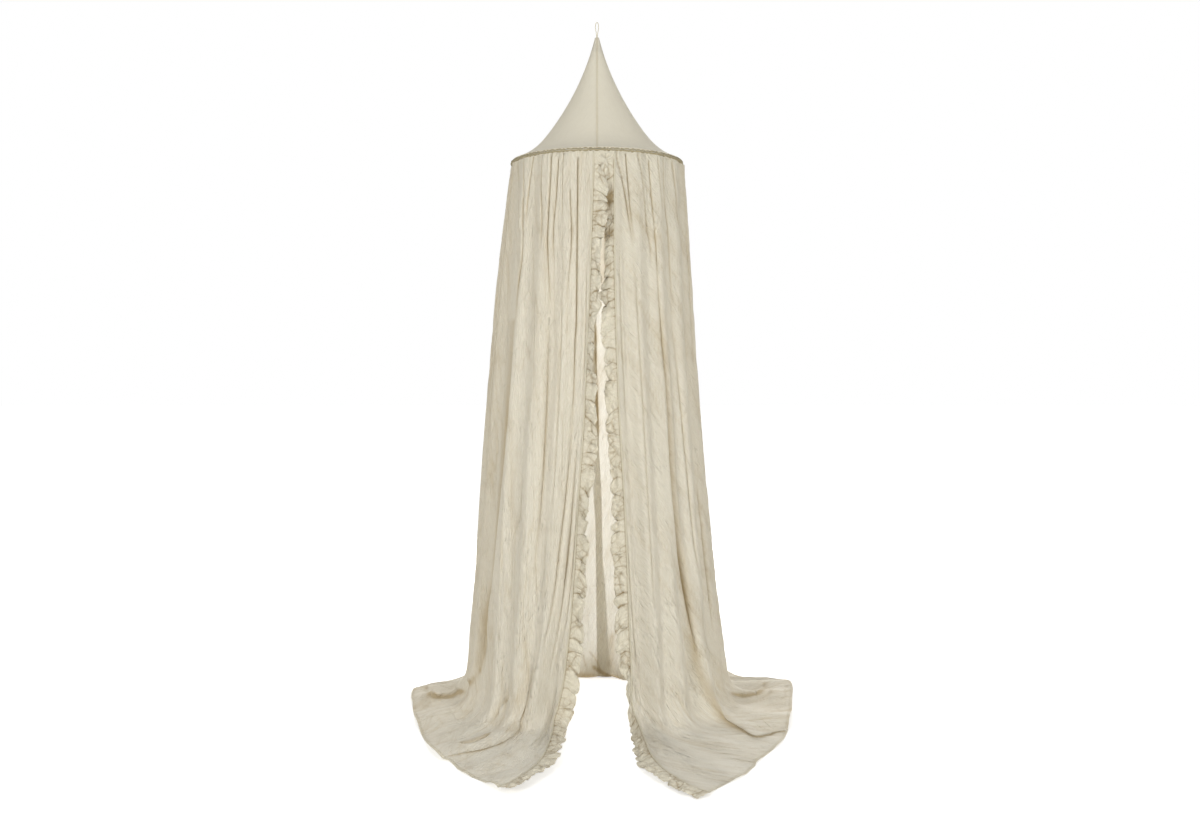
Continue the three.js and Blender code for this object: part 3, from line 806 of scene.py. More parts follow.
# %% Tucks round the sides and the back, and the small pleats at the hoop
hoop_seed = 41
tuck_spacing = 0.029
tuck_spacings = (0.75, 1.3)
tuck_ends = (0.16, 0.5)
tuck_leans = (-0.008, 0.008)
tuck_depths = (0.004, 0.008)
tuck_widths = (0.0045, 0.006)
first_share = 0.2
last_share = 0.495
pleat_spacing = 0.0085
pleat_rise = 0.0016
pleat_length = 0.05

random = np.random.default_rng(hoop_seed)
for side, half in halves.items():
    share = first_share
    while share < last_share:
        place = share if side == "left" else 1 - share
        ends = random.uniform(*tuck_ends)
        lean = random.uniform(*tuck_leans)
        line = cloth_at(half, [(run, place + lean * run / ends) for run in np.linspace(0, ends, 6)])
        deep = random.uniform(*tuck_depths)
        wide = random.uniform(*tuck_widths)
        tuck(half, line, np.array([1, 0.9, 0.5, 0]) * deep, np.array([1, 1.4, 2]) * wide)
        share += tuck_spacing * random.uniform(*tuck_spacings) / (2 * math.pi * hoop_radius)
    across, length = half["uv"][..., 0], half["uv"][..., 1]
    pleats = soft_noise(across * 0.5, length, pleat_spacing / 2, pleat_length, hoop_seed + 1)
    half["shift"] += (pleat_rise * pleats * np.exp(-length / pleat_length))[..., None] * half["normal"]
print("pleats every", pleat_spacing * 1000, "mm at the hoop")

# %% [markdown]
# ## How the train lies
#
# Where the curtain's spare length lies on the floor it was pulled outwards, so the side of each half
# lies over its front. That is a long lip that runs down the front of the train. Behind it a shallow
# channel curls round below the raised back of the train. All of it is traced from the photograph.

# %% Folds of the train
left_train_lips = [
    ([(516, 318), (512, 379), (508.5, 426), (504, 485), (500.5, 532), (495.5, 579), (490, 615), (488, 650),
      (484, 672)],
     (0.001, 0.004, 0.006, 0.008, 0.01, 0.011, 0.01, 0.006, 0.001), 0.005, 0.8, 0.05),
    ([(448, 752), (462, 749), (476, 746), (490, 741), (504, 733.5), (515, 723), (522.5, 712), (528, 695),
      (531, 672)],
     (0.005, 0.01, 0.011, 0.009, 0.002), 0.004, 1.0, 0.05),
    ([(444, 760), (476, 756), (504, 744), (524, 727), (535, 700), (538, 676)],
     (0.001, 0.004, 0.005, 0.002), 0.022, 0.0, 0.1),
    ([(426.8, 681), (433, 687), (442, 691), (451, 691), (460, 687.5), (469, 681), (476, 674)],
     (0.003, 0.012, 0.016, 0.015, 0.01, 0.001), 0.006, 0.35, 0.045),
]
left_train_tucks = [
    ([(512, 693), (506, 700), (498, 711), (489, 723), (482, 729), (473.5, 734), (466, 735.5), (459, 732),
      (449, 728)], 7, 5),
    ([(539, 640), (534.7, 668), (530.5, 696)], 3, 6),
]
right_train_lips = [
    ([(713, 697), (720, 706), (728, 715), (739, 724), (749, 730), (758.5, 733), (771, 732), (785, 729)],
     (0.0, 0.002, 0.006, 0.011, 0.014, 0.014, 0.012, 0.006), 0.004, 1.0, 0.05),
    ([(684, 640), (692, 664), (702, 692), (716, 712), (736, 732), (760, 741), (786, 737)],
     (0.0, 0.003, 0.005, 0.004, 0.001), 0.022, 0.0, 0.11),
    ([(731, 690), (742.5, 690.5), (751, 689), (759.4, 684), (763, 679)],
     (0.003, 0.012, 0.014, 0.01, 0.004), 0.006, 0.35, 0.035),
]
# bands of painted shade where the cloth is turned away from the light: lines, strengths along them, widths
# left and right
left_bands = [
    ([(514, 322), (510, 379), (506.5, 426), (502, 485), (498, 532), (493, 579), (488, 615), (485, 650),
      (480, 672)],
     (0.4, 0.5, 0.55, 0.65, 0.7, 0.7, 0.7, 0.6, 0.45), 0.03, 0.004),
    ([(427, 682), (434, 688.5), (443, 692.5), (452, 692.5), (461, 689), (470, 682), (480, 671)],
     (0.3, 0.7, 0.8, 0.8, 0.7, 0.5, 0.4), 0.009, 0.004),
    ([(459, 731), (468, 733), (477, 729), (487, 721), (496, 712), (505, 700), (514, 684)],
     (0.5, 0.6, 0.6, 0.45, 0.35, 0.25, 0.15), 0.004, 0.014),
    ([(523, 640), (526, 670), (520, 700), (506, 722)], (0.1, 0.25, 0.3, 0.3), 0.01, 0.015),
]
right_bands = [
    ([(661, 320), (667, 379), (671, 438), (673, 485), (677, 532), (684, 579), (689, 620), (695, 658),
      (704, 684), (715, 704), (729, 719), (741, 728)],
     (0.25, 0.3, 0.35, 0.4, 0.45, 0.5, 0.5, 0.5, 0.5, 0.55, 0.55, 0.5), 0.015, 0.016),
    ([(731.4, 691), (742.5, 691.5), (751, 690), (759.4, 685), (763, 680)], (0.3, 0.7, 0.8, 0.6, 0.3), 0.006,
     0.003),
]
channel_depths = np.array([0.2, 1, 0.8, 0.1])
for half, lips, tucks, bands in ((halves["left"], left_train_lips, left_train_tucks, left_bands),
                                 (halves["right"], right_train_lips, [], right_bands)):
    for line, lifts, width, over, reach in lips:
        lip(half, seen_at(half, line), lifts, width, over, reach)
    for line, depth, width in tucks:
        tuck(half, seen_at(half, line), channel_depths * depth / 1000, width / 1000)
    for line, strengths, left_width, right_width in bands:
        shade_band(half, seen_at(half, line), strengths, left_width, right_width)
print("train folds:", len(left_train_lips + left_train_tucks), "left,", len(right_train_lips), "right")

# %% [markdown]
# ## The gauze's own relief
#
# Double gauze shrinks unevenly in the wash, so it is never smooth. Small crinkles run down the cloth,
# loose folds wander over it, and narrow creases cross it aslant, more of them low down, where the
# cloth was handled. All are soft random patches in metres of flat cloth, so they follow its folds.

# %% Crinkles, loose folds and fine creases
cloth_seed = 7
crinkle_rise = 0.0005
crinkle_patch = (0.009, 0.07)
small_crinkle_patch = (0.005, 0.03)
small_crinkle_share = 0.6
loose_rise = 0.0013
loose_patch = (0.042, 0.55)
loose_from = 0.5
rumple_rise = 0.0009
rumple_patch = (0.032, 0.045)
leaning_patch = (0.02, 0.11)
rumpled_from, rumpled_reach = 0.9, 0.8
crease_rise = 0.0018
long_crease_patch = (0.016, 0.16)
steep_crease_patch = (0.03, 0.09)
aslant_crease_patch = (0.022, 0.07)
lesser_share = 0.8
crease_shade = 0.3
loose_shade = 0.1
rumple_shade = 0.15


def turned(across, length, slope):
    """Places on the flat cloth along ways that are turned by this slope."""
    return across + slope * length, length - slope * across


for half in halves.values():
    across, length = half["uv"][..., 0], half["uv"][..., 1]
    low = ease((length - rumpled_from) / rumpled_reach)
    crinkle = (soft_noise(across, length, *crinkle_patch, cloth_seed)
               + small_crinkle_share * soft_noise(across, length, *small_crinkle_patch, cloth_seed + 1))
    loose = soft_noise(across, length, *loose_patch, cloth_seed + 2) * np.minimum(1, length / loose_from)
    leaning = soft_noise(*turned(across, length, 0.5), *leaning_patch, cloth_seed + 3)
    rumple = soft_noise(across, length, *rumple_patch, cloth_seed + 4)
    steep = fine_creases(across + 0.12 * length, length, *steep_crease_patch, cloth_seed + 6, 12)
    aslant = fine_creases(*turned(across, length, 0.7), *aslant_crease_patch, cloth_seed + 7, 9)
    creases = (fine_creases(across, length, *long_crease_patch, cloth_seed + 5)
               + lesser_share * steep + lesser_share * low * aslant)
    rise = (crinkle_rise * crinkle + loose_rise * loose + rumple_rise * low * (leaning + 0.7 * rumple)
            + crease_rise * creases)
    half["shift"] += rise[..., None] * half["normal"]
    # painted shade in the fine creases, and in the hollows of the loose folds and of the rumples
    half["shade"] += (-crease_shade * creases + loose_shade * np.maximum(0, -loose)
                      + rumple_shade * low * np.maximum(0, -leaning - 0.5 * rumple))
    print("relief of the gauze, in mm:", np.round([rise.min() * 1000, rise.max() * 1000], 1).tolist())

# %% [markdown]
# ## How the cloth meets the floor
#
# The formula so far lets the train keep all the height of its ridges. Real gauze has next to no body,
# so on the floor it sinks under its own weight. In the middle of the back it has length to spare,
# which pools inwards before the cloth turns out to the train.

# %% Pressing the train and pooling the back
# how much of its height the train keeps, at these shares of the way round from the front edge
train_presses = {
    "left": ((0, 0.04, 0.12, 0.15, 0.31, 0.35, 0.43, 0.5),
             (0.7, 0.5, 0.45, 0.5, 0.6, 0.35, 0.35, 0.7)),
    "right": ((0, 0.04, 0.12, 0.15, 0.31, 0.34, 0.38, 0.5),
              (0.7, 0.5, 0.5, 0.5, 0.6, 0.5, 0.6, 0.8)),
}
pool_share = 0.1
pool_run = 0.772
pool_spread = 0.026
pool_reach = 0.082
pool_patch = (0.045, 0.06)
pool_ruffle_patch = (0.04, 0.04)
laid_run, laid_spread, laid_share = pool_run + 0.006, 0.018, 0.85
laid_gap = 0.002
pool_shade_run, pool_shade_spread, pool_shade = pool_run + 0.012, 0.016, 0.9
lying = ease((runs - hang_share) / (train_share - hang_share))[:, None]

for side, half in halves.items():
    across, length = half["uv"][..., 0], half["uv"][..., 1]
    points = half["points"] + half["shift"]
    pressed = mix(1, np.interp(half["around"], *train_presses[side])[None, :], lying)
    points[..., 2] = floor_level + (points[..., 2] - floor_level) * np.where(lying > 0, pressed, 1)
    middle = bell(half["shares"], 0.5, pool_share, 4)[None, :]
    uneven = 1 + 0.25 * soft_noise(across, length, *pool_patch, cloth_seed + 8)
    pooled = middle * bell(runs, pool_run, pool_spread)[:, None] * uneven
    points[..., 1] -= pool_reach * pooled
    ruffled = soft_noise(across, length, *pool_ruffle_patch, cloth_seed + 9)
    points[..., 2] += 0.2 * pool_reach * pooled * ruffled
    laid = laid_share * middle * bell(runs, laid_run, laid_spread)[:, None]
    points[..., 2] = mix(points[..., 2], floor_level + laid_gap, laid)
    # painted shade along the bottom of the pool
    half["shade"] += pool_shade * middle * bell(runs, pool_shade_run, pool_shade_spread)[:, None]
    half["final"] = points
print("the back pools", pool_reach * 1000, "mm inwards")

# %% Painted shade of the sides and of the train
side_share, side_spread = 0.22, 0.05
side_shades = {"left": 0.22, "right": 0.16}
train_middle_share, train_spread = 0.3, 0.13
train_shade = 0.22
# painted shade: the sides are seen aslant, deep in their own shade, and the train lies in layers there
for side, half in halves.items():
    half["shade"] += side_shades[side] * bell(half["around"], side_share, side_spread)[None, :] * (1 - lying)
    half["shade"] += train_shade * bell(half["around"], train_middle_share, train_spread)[None, :] * lying
print("shade of the sides:", side_shades)

# %% Moving the front edge and the hem to where the photograph has them
edge_share = 0.03
edge_setback = 0.012
floor_gap = 0.0006
hem_fold_height = 0.0012
hem_reach = 0.05
# how far the front edge is moved towards the gap, in millimetres, at these shares of the way down
edge_moves = {
    "left": ((0.62, 0.7, 0.727, 0.746, 0.786, 0.825, 0.845, 0.865, 0.885, 0.905, 0.924, 0.944, 0.964,
              0.984, 1.0),
             (0, -7, -15, -17, -18, -19, -17, -12, -4, 4, 12, 20, 28, 36, 38)),
    "right": ((0.7, 0.727, 0.76, 0.805, 0.825, 0.845, 0.865, 0.885, 0.905, 0.924, 0.944, 0.964, 0.984, 1.0),
              (0, 2, -5, -15, -18, -17, -12, -8, -2, 4, 6, 8, 9, 6)),
}
# how far the hem is moved out, in millimetres, at these shares of the way round from the front edge
hem_moves = {
    "left": ((0, 0.008, 0.02, 0.048, 0.06, 0.07, 0.078, 0.084, 0.089, 0.11, 0.16),
             (0, -3, -8, -6, -10, -15, -17, -14, -1, 2, 0)),
    "right": ((0, 0.008, 0.015, 0.03, 0.047, 0.06, 0.071, 0.08, 0.087, 0.095, 0.11, 0.13, 0.15, 0.2),
              (0, -8, -10, -10, -5, -5, -9, -8, -14, -12, -9, -2, 3, 0)),
}

for side, half in halves.items():
    points = half["final"]
    along_edge = unit(np.gradient(points[:, half["edge"]], axis=0))[:, None]
    to_gap = -half["sign"] * half["across"]
    to_gap = unit(to_gap - (to_gap * along_edge).sum(-1, keepdims=True) * along_edge)
    moved = np.interp(runs, *edge_moves[side])[:, None] / 1000 - edge_setback * lying
    points += (moved * bell(half["around"], 0, edge_share)[None, :])[..., None] * to_gap
    half["to_gap"] = to_gap[:, half["edge"]]
    outward = unit(hem_point(half["shares"]) - foot_point(half["shares"]))
    by_hem = (ease((runs - train_share) / (1 - train_share)) ** 2)[:, None]
    moved = by_hem * np.interp(half["around"], *hem_moves[side])[None, :] / 1000
    points[..., :2] += moved[..., None] * outward[None]
    # the cloth clears the floor, and by the hem also the turned-up fold below it
    near_hem = ease(1 - (1 - runs) / hem_reach)[:, None]
    points[..., 2] = np.maximum(points[..., 2], floor_level + floor_gap + hem_fold_height * near_hem)
    print(side, "half: lowest point above the floor", round(float(points[..., 2].min() - floor_level), 4))

# %% [markdown]
# ## The overlap at the middle of the back
#
# Through the front gap one sees the inside of the back, bright because light comes through it, with a
# tan band down its middle. There the two halves overlap, so light has two layers to pass. The extra
# columns here are that overlap: the right half runs on behind the left one, mostly high up, and the
# left half runs on inside the right one, more and more towards the floor.

# %% Overlap of the back
overlap_columns = 6
overlap_gap = 0.0025
seam_slide = 0.008
seam_reach = 0.05
# painted shade on the overlap, at these shares of the way down
overlap_shades = ((0, 0.3, 0.5, 0.65, 0.74, 0.78, 1), (0.3, 0.25, 0.1, 0.1, 0.15, 0.3, 0.4))
# how far each half runs on past the middle of the back, at these shares of the way down
overlaps = {
    "left": ((0, 0.29, 0.36, 0.42, 0.48, 0.585, 0.62, 0.68, 0.75, 1),
             (0.004, 0.006, 0.01, 0.011, 0.017, 0.019, 0.026, 0.033, 0.042, 0.045)),
    "right": ((0, 0.42, 0.48, 0.53, 1), (0.012, 0.012, 0.009, 0.003, 0.002)),
}


def with_overlap(side):
    """A half's grid, metres of cloth and fold shade, with the columns of its overlap added."""
    half = halves[side]
    half["final"][..., 0] += seam_slide * bell(half["shares"], 0.5, seam_reach)
    last = -1 if side == "left" else 0
    ahead = half["across"][:, last] * half["sign"]
    to_inside = -half["normal"][:, last] * half["sign"]
    width = np.interp(runs, *overlaps[side])
    share = np.linspace(0, 1, overlap_columns + 1)[1:]
    point = (half["final"][:, last, None] + (width[:, None] * share)[..., None] * ahead[:, None]
             + (overlap_gap * ease(2 * share))[None, :, None] * to_inside[:, None])
    point[..., 2] = np.maximum(point[..., 2], floor_level + floor_gap)
    further = np.stack([width[:, None] * share, np.zeros((len(runs), overlap_columns))], -1)
    uv = half["uv"][:, last, None] + further
    shade = np.interp(runs, *overlap_shades)[:, None] + np.zeros(overlap_columns)
    added = (point, uv, shade)
    own = (half["final"], half["uv"], half["shade"])
    if side == "left":
        return [np.concatenate(pair, axis=1) for pair in zip(own, added)]
    return [np.concatenate([new[:, ::-1], old], axis=1) for old, new in zip(own, added)]


half_grids = {side: with_overlap(side) for side in halves}
print("halves with their overlaps:", [grid[0].shape for grid in half_grids.values()])

# %% Painted shade on the inside of the back
back_from = 0.15
# painted shade in the photograph's pixels: a line, its width and its strength. The two long ones lie high up,
# behind the slit between the frills
inner_painted_shades = [
    ([(594, 667.5), (599, 670.5), (604, 674), (610, 676.5), (617, 677.5)], 1.7, 1.3),
    ([(576, 674), (584, 676), (594, 677)], 3.5, 0.7),
    ([(612, 636), (612, 652), (610, 664)], 3.0, 0.45),
    ([(583, 655), (586, 667)], 0.9, 0.5),
    ([(603, 214), (602.5, 245), (602, 282)], 5.0, 0.4),
    ([(595.6, 330), (595.9, 368), (596.6, 400), (598.5, 432)], 2.4, 0.75),
    ([(590, 652), (596, 660), (600, 669)], 1.0, 0.5),
]
for grid, uv, shade in half_grids.values():
    column, row = pixel_of(grid)
    seen_pixels = np.stack([column, row], -1)
    for line, width, strength in inner_painted_shades:
        path = along_points(line, np.linspace(0, 1, 24))
        away = np.linalg.norm(seen_pixels[:, :, None] - path, axis=-1).min(-1)
        shade += strength * bell(away, 0, width) * (grid[..., 1] > back_from)
print(len(inner_painted_shades), "darker places")

# %% [markdown]
# ## Cloth materials
#
# Double gauze is two thin layers of loose cotton held together here and there, so it crinkles when
# washed. At arm's length one sees three things: soft long crinkles, the open weave, and threads that
# are a little thicker or darker here and there. Each is a noise stretched along the cloth's own
# directions, scaled from real millimetres. Light also comes through the cloth, so every cloth is a mix
# of a rough surface with a faint fuzz and of light that passes through. Shade is painted into both
# colours as well: in the creases round the crinkles, in the sharp creases, and as much as each point's
# fold shade says.

# %% Parts of the shader for woven cotton
weave_pitch = 0.0008
thread_run = 12
weave_rise = 0.00012
slub_size = (2.5, 60)
slub_paler, slub_darker = 1.05, 0.88
swell_gain = 4
small_crinkle = 0.6
crease_size = (0.021, 0.05)
crease_line = 0.0034
crease_slant = 0.35
crease_patch_size = (0.07, 0.1)
crease_patch_edge = (0.46, 0.58)


def stretched_noise(tree, uv, width, length, detail, distortion=0):
    """Noise in patches of this width and length on the flat cloth, in metres."""
    stretched = add_node(tree, "ShaderNodeMapping", values={"Scale": (1 / width, 1 / length, 1)},
                         links={"Vector": uv})
    return add_node(tree, "ShaderNodeTexNoise",
                    values={"Scale": 1, "Detail": detail, "Roughness": 0.55, "Distortion": distortion},
                    links={"Vector": stretched})


def cell_edges(tree, vector, width, length):
    """The distance from the border of a cell, in random cells of this width and length in metres."""
    cells = add_node(tree, "ShaderNodeMapping", values={"Scale": (1 / width, 1 / length, 1)},
                     links={"Vector": vector})
    return add_node(tree, "ShaderNodeTexVoronoi",
                    {"feature": "DISTANCE_TO_EDGE", "voronoi_dimensions": "2D"},
                    {"Scale": 1, "Randomness": 1}, {"Vector": cells}).outputs["Distance"]


def weave_relief(tree, uv, pitch):
    """The threads, which run over and under each other."""
    warp = stretched_noise(tree, uv, pitch, pitch * thread_run, 1)
    weft = stretched_noise(tree, uv, pitch * thread_run, pitch, 1)
    woven = add_node(tree, "ShaderNodeMath", {"operation": "MAXIMUM"}, links={0: warp, 1: weft})
    return add_node(tree, "ShaderNodeBump", values={"Strength": 1, "Distance": weave_rise},
                    links={"Height": woven})


def crinkle_relief(tree, uv, pushed, normal, rise, size):
    """Washed gauze dries in narrow cells with a crease round each. Gives the relief, and how far each
    place has swollen up from the crease."""
    swell = add_node(tree, "ShaderNodeMath", {"operation": "MULTIPLY", "use_clamp": True},
                     {1: swell_gain}, {0: cell_edges(tree, pushed, *size)})
    creased = add_node(tree, "ShaderNodeBump", values={"Strength": 1, "Distance": rise},
                       links={"Height": swell, "Normal": normal})
    crinkles = stretched_noise(tree, uv, size[0] * small_crinkle, size[1] * small_crinkle, 2, 0.4)
    relief = add_node(tree, "ShaderNodeBump", values={"Strength": 1, "Distance": 1.2 * rise},
                      links={"Height": crinkles, "Normal": creased})
    return relief, swell


def sharp_creases(tree, uv, pushed):
    """1 in a sharp crease and 0 beside it. These creases lie aslant and come in patches."""
    slanted = add_node(tree, "ShaderNodeVectorRotate", {"rotation_type": "Z_AXIS"},
                       {"Angle": crease_slant}, {"Vector": pushed})
    edges = cell_edges(tree, slanted, *crease_size)
    line = add_node(tree, "ShaderNodeMapRange", {}, {1: 0, 2: crease_line / crease_size[0], 3: 1, 4: 0},
                    {0: edges})
    patch = add_node(tree, "ShaderNodeMapRange", {},
                     {1: crease_patch_edge[0], 2: crease_patch_edge[1], 3: 0, 4: 1},
                     {0: stretched_noise(tree, uv, *crease_patch_size, 1)})
    return add_node(tree, "ShaderNodeMath", {"operation": "MULTIPLY"}, links={0: line, 1: patch})


def thread_colours(tree, uv, colour, pitch):
    """Thicker threads keep back a little more light than thin ones."""
    slubs = stretched_noise(tree, uv, pitch * slub_size[0], pitch * slub_size[1], 2)
    paler = [min(1, channel * slub_paler) for channel in linear(colour)[:3]]
    darker = [channel * slub_darker for channel in linear(colour)[:3]]
    return add_node(tree, "ShaderNodeMix", {"data_type": "RGBA"}, {6: (*paler, 1), 7: (*darker, 1)},
                    {0: slubs}).outputs[2]


print("weave every", weave_pitch * 1000, "mm, sharp creases about", crease_size[1] * 1000, "mm long")

# %% The shader for woven cotton
# colours that painted shade darkens towards, on the curtain and on the frills, and how much painted shade the
# crinkles' edges and the sharp creases get
fold_shade_colour = (0.66, 0.57, 0.43)
frill_shade_colour = (0.52, 0.43, 0.3)
plain_crinkle_shade = 0.03
creased_crinkle_shade = 0.1
sharp_crease_shade = 0.04
# a noise scale is in patches per metre, so these are about 22 mm wide
wander_scale = 45
fuzz = {"Roughness": 0.9, "Specular IOR Level": 0.25, "Sheen Weight": 0.12, "Sheen Roughness": 0.45}


def cloth_material(name, colour, through, crinkle, crinkle_size, light_through=0.3, pitch=weave_pitch,
                   creases=0.0, painted_shade_colour=fold_shade_colour):
    """Woven cotton with painted shade. crinkle is the height of its crinkles in metres, and crinkle_size
    their width and length.
    creases is the depth of its sharp creases, in metres. painted_shade_colour is the colour of the painted
    shade in its deepest folds."""
    material = bpy.data.materials.new(name)
    tree = blank_tree(material)
    uv = add_node(tree, "ShaderNodeUVMap", {"uv_map": "cloth_metres"})
    wander = add_node(tree, "ShaderNodeTexNoise", values={"Scale": wander_scale, "Detail": 1},
                      links={"Vector": uv})
    pushed = add_node(tree, "ShaderNodeVectorMath", {"operation": "MULTIPLY_ADD"}, {1: [crinkle_size[0]] * 3},
                      {0: wander.outputs["Color"], 2: uv})
    normal, swell = crinkle_relief(tree, uv, pushed, weave_relief(tree, uv, pitch), crinkle, crinkle_size)

    # painted shade: where folds lie several layers deep, and in each crease, both the colour thrown back and
    # the light let through are darkened towards a tan
    folded = add_node(tree, "ShaderNodeAttribute", {"attribute_name": "fold_shade"}).outputs["Fac"]
    in_crease = add_node(tree, "ShaderNodeMath", {"operation": "SUBTRACT"}, {0: 1}, {1: swell})
    folded = add_node(tree, "ShaderNodeMath", {"operation": "MULTIPLY_ADD", "use_clamp": True},
                      {1: creased_crinkle_shade if creases else plain_crinkle_shade}, {0: in_crease, 2: folded})
    if creases:
        sharp = sharp_creases(tree, uv, pushed)
        normal = add_node(tree, "ShaderNodeBump", {"invert": True}, {"Strength": 1, "Distance": creases},
                          {"Height": sharp, "Normal": normal})
        folded = add_node(tree, "ShaderNodeMath", {"operation": "MULTIPLY_ADD", "use_clamp": True},
                          {1: sharp_crease_shade}, {0: sharp, 2: folded})
    thrown_back = add_node(tree, "ShaderNodeMix", {"data_type": "RGBA", "blend_type": "MULTIPLY"},
                           {7: (*painted_shade_colour, 1)}, {0: folded, 6: thread_colours(tree, uv, colour, pitch)}).outputs[2]
    let_through = add_node(tree, "ShaderNodeMix", {"data_type": "RGBA", "blend_type": "MULTIPLY"},
                           {6: linear(through), 7: (*painted_shade_colour, 1)}, {0: folded}).outputs[2]
    surface = add_node(tree, "ShaderNodeBsdfPrincipled", {}, fuzz,
                       {"Base Color": thrown_back, "Normal": normal})
    passed = add_node(tree, "ShaderNodeBsdfTranslucent", {}, {}, {"Color": let_through, "Normal": normal})
    both = add_node(tree, "ShaderNodeMixShader", {}, {0: light_through}, {1: surface, 2: passed})
    add_node(tree, "ShaderNodeOutputMaterial", links={"Surface": both})
    return material


print("tan of the folds:", fold_shade_colour, "and of the frills:", frill_shade_colour)

# %% The cloths
gauze = cloth_material("washed cotton double gauze, undyed", "e1ddd1", "eeebe2", 0.0009, (0.007, 0.03), 0.34,
                       creases=0.0012)
roof_cloth = cloth_material("plain cotton voile, undyed", "e4e0d3", "e9e5d7", 0.0001, (0.03, 0.05), 0.22,
                            0.0005)
# the frill's cloth is painted paler than the curtain's, as painted light that makes up for the light its two
# layers keep back
frill_cloth = cloth_material("gathered cotton gauze, undyed", "ece8da", "f2eee2", 0.0007, (0.006, 0.012),
                             0.3, creases=0.0006, painted_shade_colour=frill_shade_colour)
binding_cloth = cloth_material("folded cotton binding", "dfdac9", "e9e3d0", 0.0003, (0.004, 0.01), 0.25,
                               0.0006)
# the hem's cloth is painted paler than the curtain's: painted light that keeps the shade under the hem from
# showing as a dark line
hem_cloth = cloth_material("hem of cotton double gauze", "f2efe6", "fbf9f2", 0.0004, (0.007, 0.02), 0.6)
# the casing's cloth is painted darker than the curtain's, as painted shade for its puckers and its several
# layers
casing_cloth = cloth_material("ruched cotton casing", "a99f84", "b8ad8f", 0.0004, (0.002, 0.01), 0.1, 0.0006)
print("cloths:", ", ".join(m.name for m in bpy.data.materials if "cotton" in m.name))

# %% [markdown]
# ## The cloth of the two halves
#
# Each half is kept as one piece, because on the real curtain nothing is cut where the frame changes
# from one width to the next.


def finish_half_piece(piece, material):
    """Paints a piece of a half and bakes its place into its mesh."""
    piece.data.materials.clear()
    piece.data.materials.append(material)
    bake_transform(piece)
    return piece


for side, half in halves.items():
    grid, uv, shade = half_grids[side]
    cloth = sheet_mesh(f"{side}_curtain_cloth", grid, uv, np.clip(shade, 0, 1))
    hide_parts(*[f"{side}_{width}_curtain" for width in widths_of_half])
    finish_half_piece(cloth, gauze)
    print(cloth.name, len(cloth.data.polygons), "faces")

# %% [markdown]
# ## Bindings and hems
#
# The front edges are bound with a narrow folded strip, which also holds the frill. The bottom edge is
# turned up twice. Both are thin closed bands that wrap the single layer, so the cloth has a real
# thickness wherever its edge can be seen.

# %% Bindings and hems
binding_width = 0.0036
binding_thickness = 0.002
binding_steps = (-0.0006, 0.0012, 0.0026, binding_width)
hem_depth = 0.009
hem_thickness = 0.001
hem_shares = np.array([1, 0.66, 0.33, 0.12, 0])
hem_drops = np.array([0.0008, 0.0008, 0.0008, 0.0007, 0.0004])
hem_clearance = 0.0001

bindings, hems = {}, {}
for side, half in halves.items():
    edge = half["edge"]
    inward = half["sign"] * half["across"][:, edge]
    steps = np.array(binding_steps)[::half["sign"]]
    strip = half["final"][:, edge, None] + steps[None, :, None] * inward[:, None]
    uv = np.stack(np.broadcast_arrays(steps, half["uv"][:, edge, 1][:, None]), -1)
    binding = band_mesh(f"{side}_binding", strip, uv, binding_thickness)
    bindings[side] = finish_half_piece(binding, binding_cloth)

    bottom = half["final"][-1]
    up = unit(half["final"][-4] - bottom)
    steps = hem_shares * hem_depth
    strip = bottom[None] + steps[:, None, None] * up[None]
    lowest = floor_level + hem_thickness / 2 + hem_clearance
    strip[..., 2] = np.maximum(strip[..., 2] - hem_drops[:, None], lowest)
    uv = np.stack(np.broadcast_arrays(half["uv"][-1, :, 0], steps[:, None]), -1)
    hem = band_mesh(f"{side}_hem", strip, uv, hem_thickness)
    hems[side] = finish_half_piece(hem, hem_cloth)
print("bindings", binding_width * 1000, "mm wide, hems", hem_depth * 1000, "mm deep")

# %% [markdown]
# ## Frills
#
# A frill is a strip that is gathered to about three quarters of its length as it is sewn to the edge. Its
# root follows the edge. Its free side has too much length, so it puffs up into lobes like small pillows,
# with valleys between them that lean over the frill. Each lobe has its own length, height, tip and slide
# along the edge. Crumples lie on the lobes, as cells with a crease at each border, and fine gathers run
# out from the seam. How far a frill is turned out of the curtain's face, and how wide it lies open, was
# read from the photograph. Upright its free side sags a little, and on the floor it lies down flat.

# %% Frill sizes
frill_width = 0.044
frill_floor_share = 0.92
frill_fullness = 1.3
frill_step = 0.0016
frill_rows = 18
frill_thickness = 0.0011
frill_seeds = {"left": 12, "right": 5}
frill_lobes = {"left": (0.024, 0.07), "right": (0.026, 0.078)}
# how far each frill is turned out of the curtain's face, in radians, at these lengths below the hoop
frill_turns = {
    "left": ((0, 0.15, 0.2, 0.45, 0.72, 0.83, 1.0, 1.23, 1.42),
             (0.0, 0.2, 0.3, 0.75, 0.75, 0.35, 0.9, 0.85, 0.5)),
    "right": ((0, 0.07, 0.11, 0.15, 0.2, 0.35, 0.48, 0.61, 0.72, 0.95, 1.04, 1.16, 1.3, 1.41, 1.46, 1.62,
               1.76, 1.9),
              (0.0, 0.1, 0.25, 0.3, 0.3, 0.4, 0.1, 0.3, 0.6, 0.6, 0.35, 0.2, 0.05, 0.2, 0.6, 0.6, 0.3, 0.1)),
}
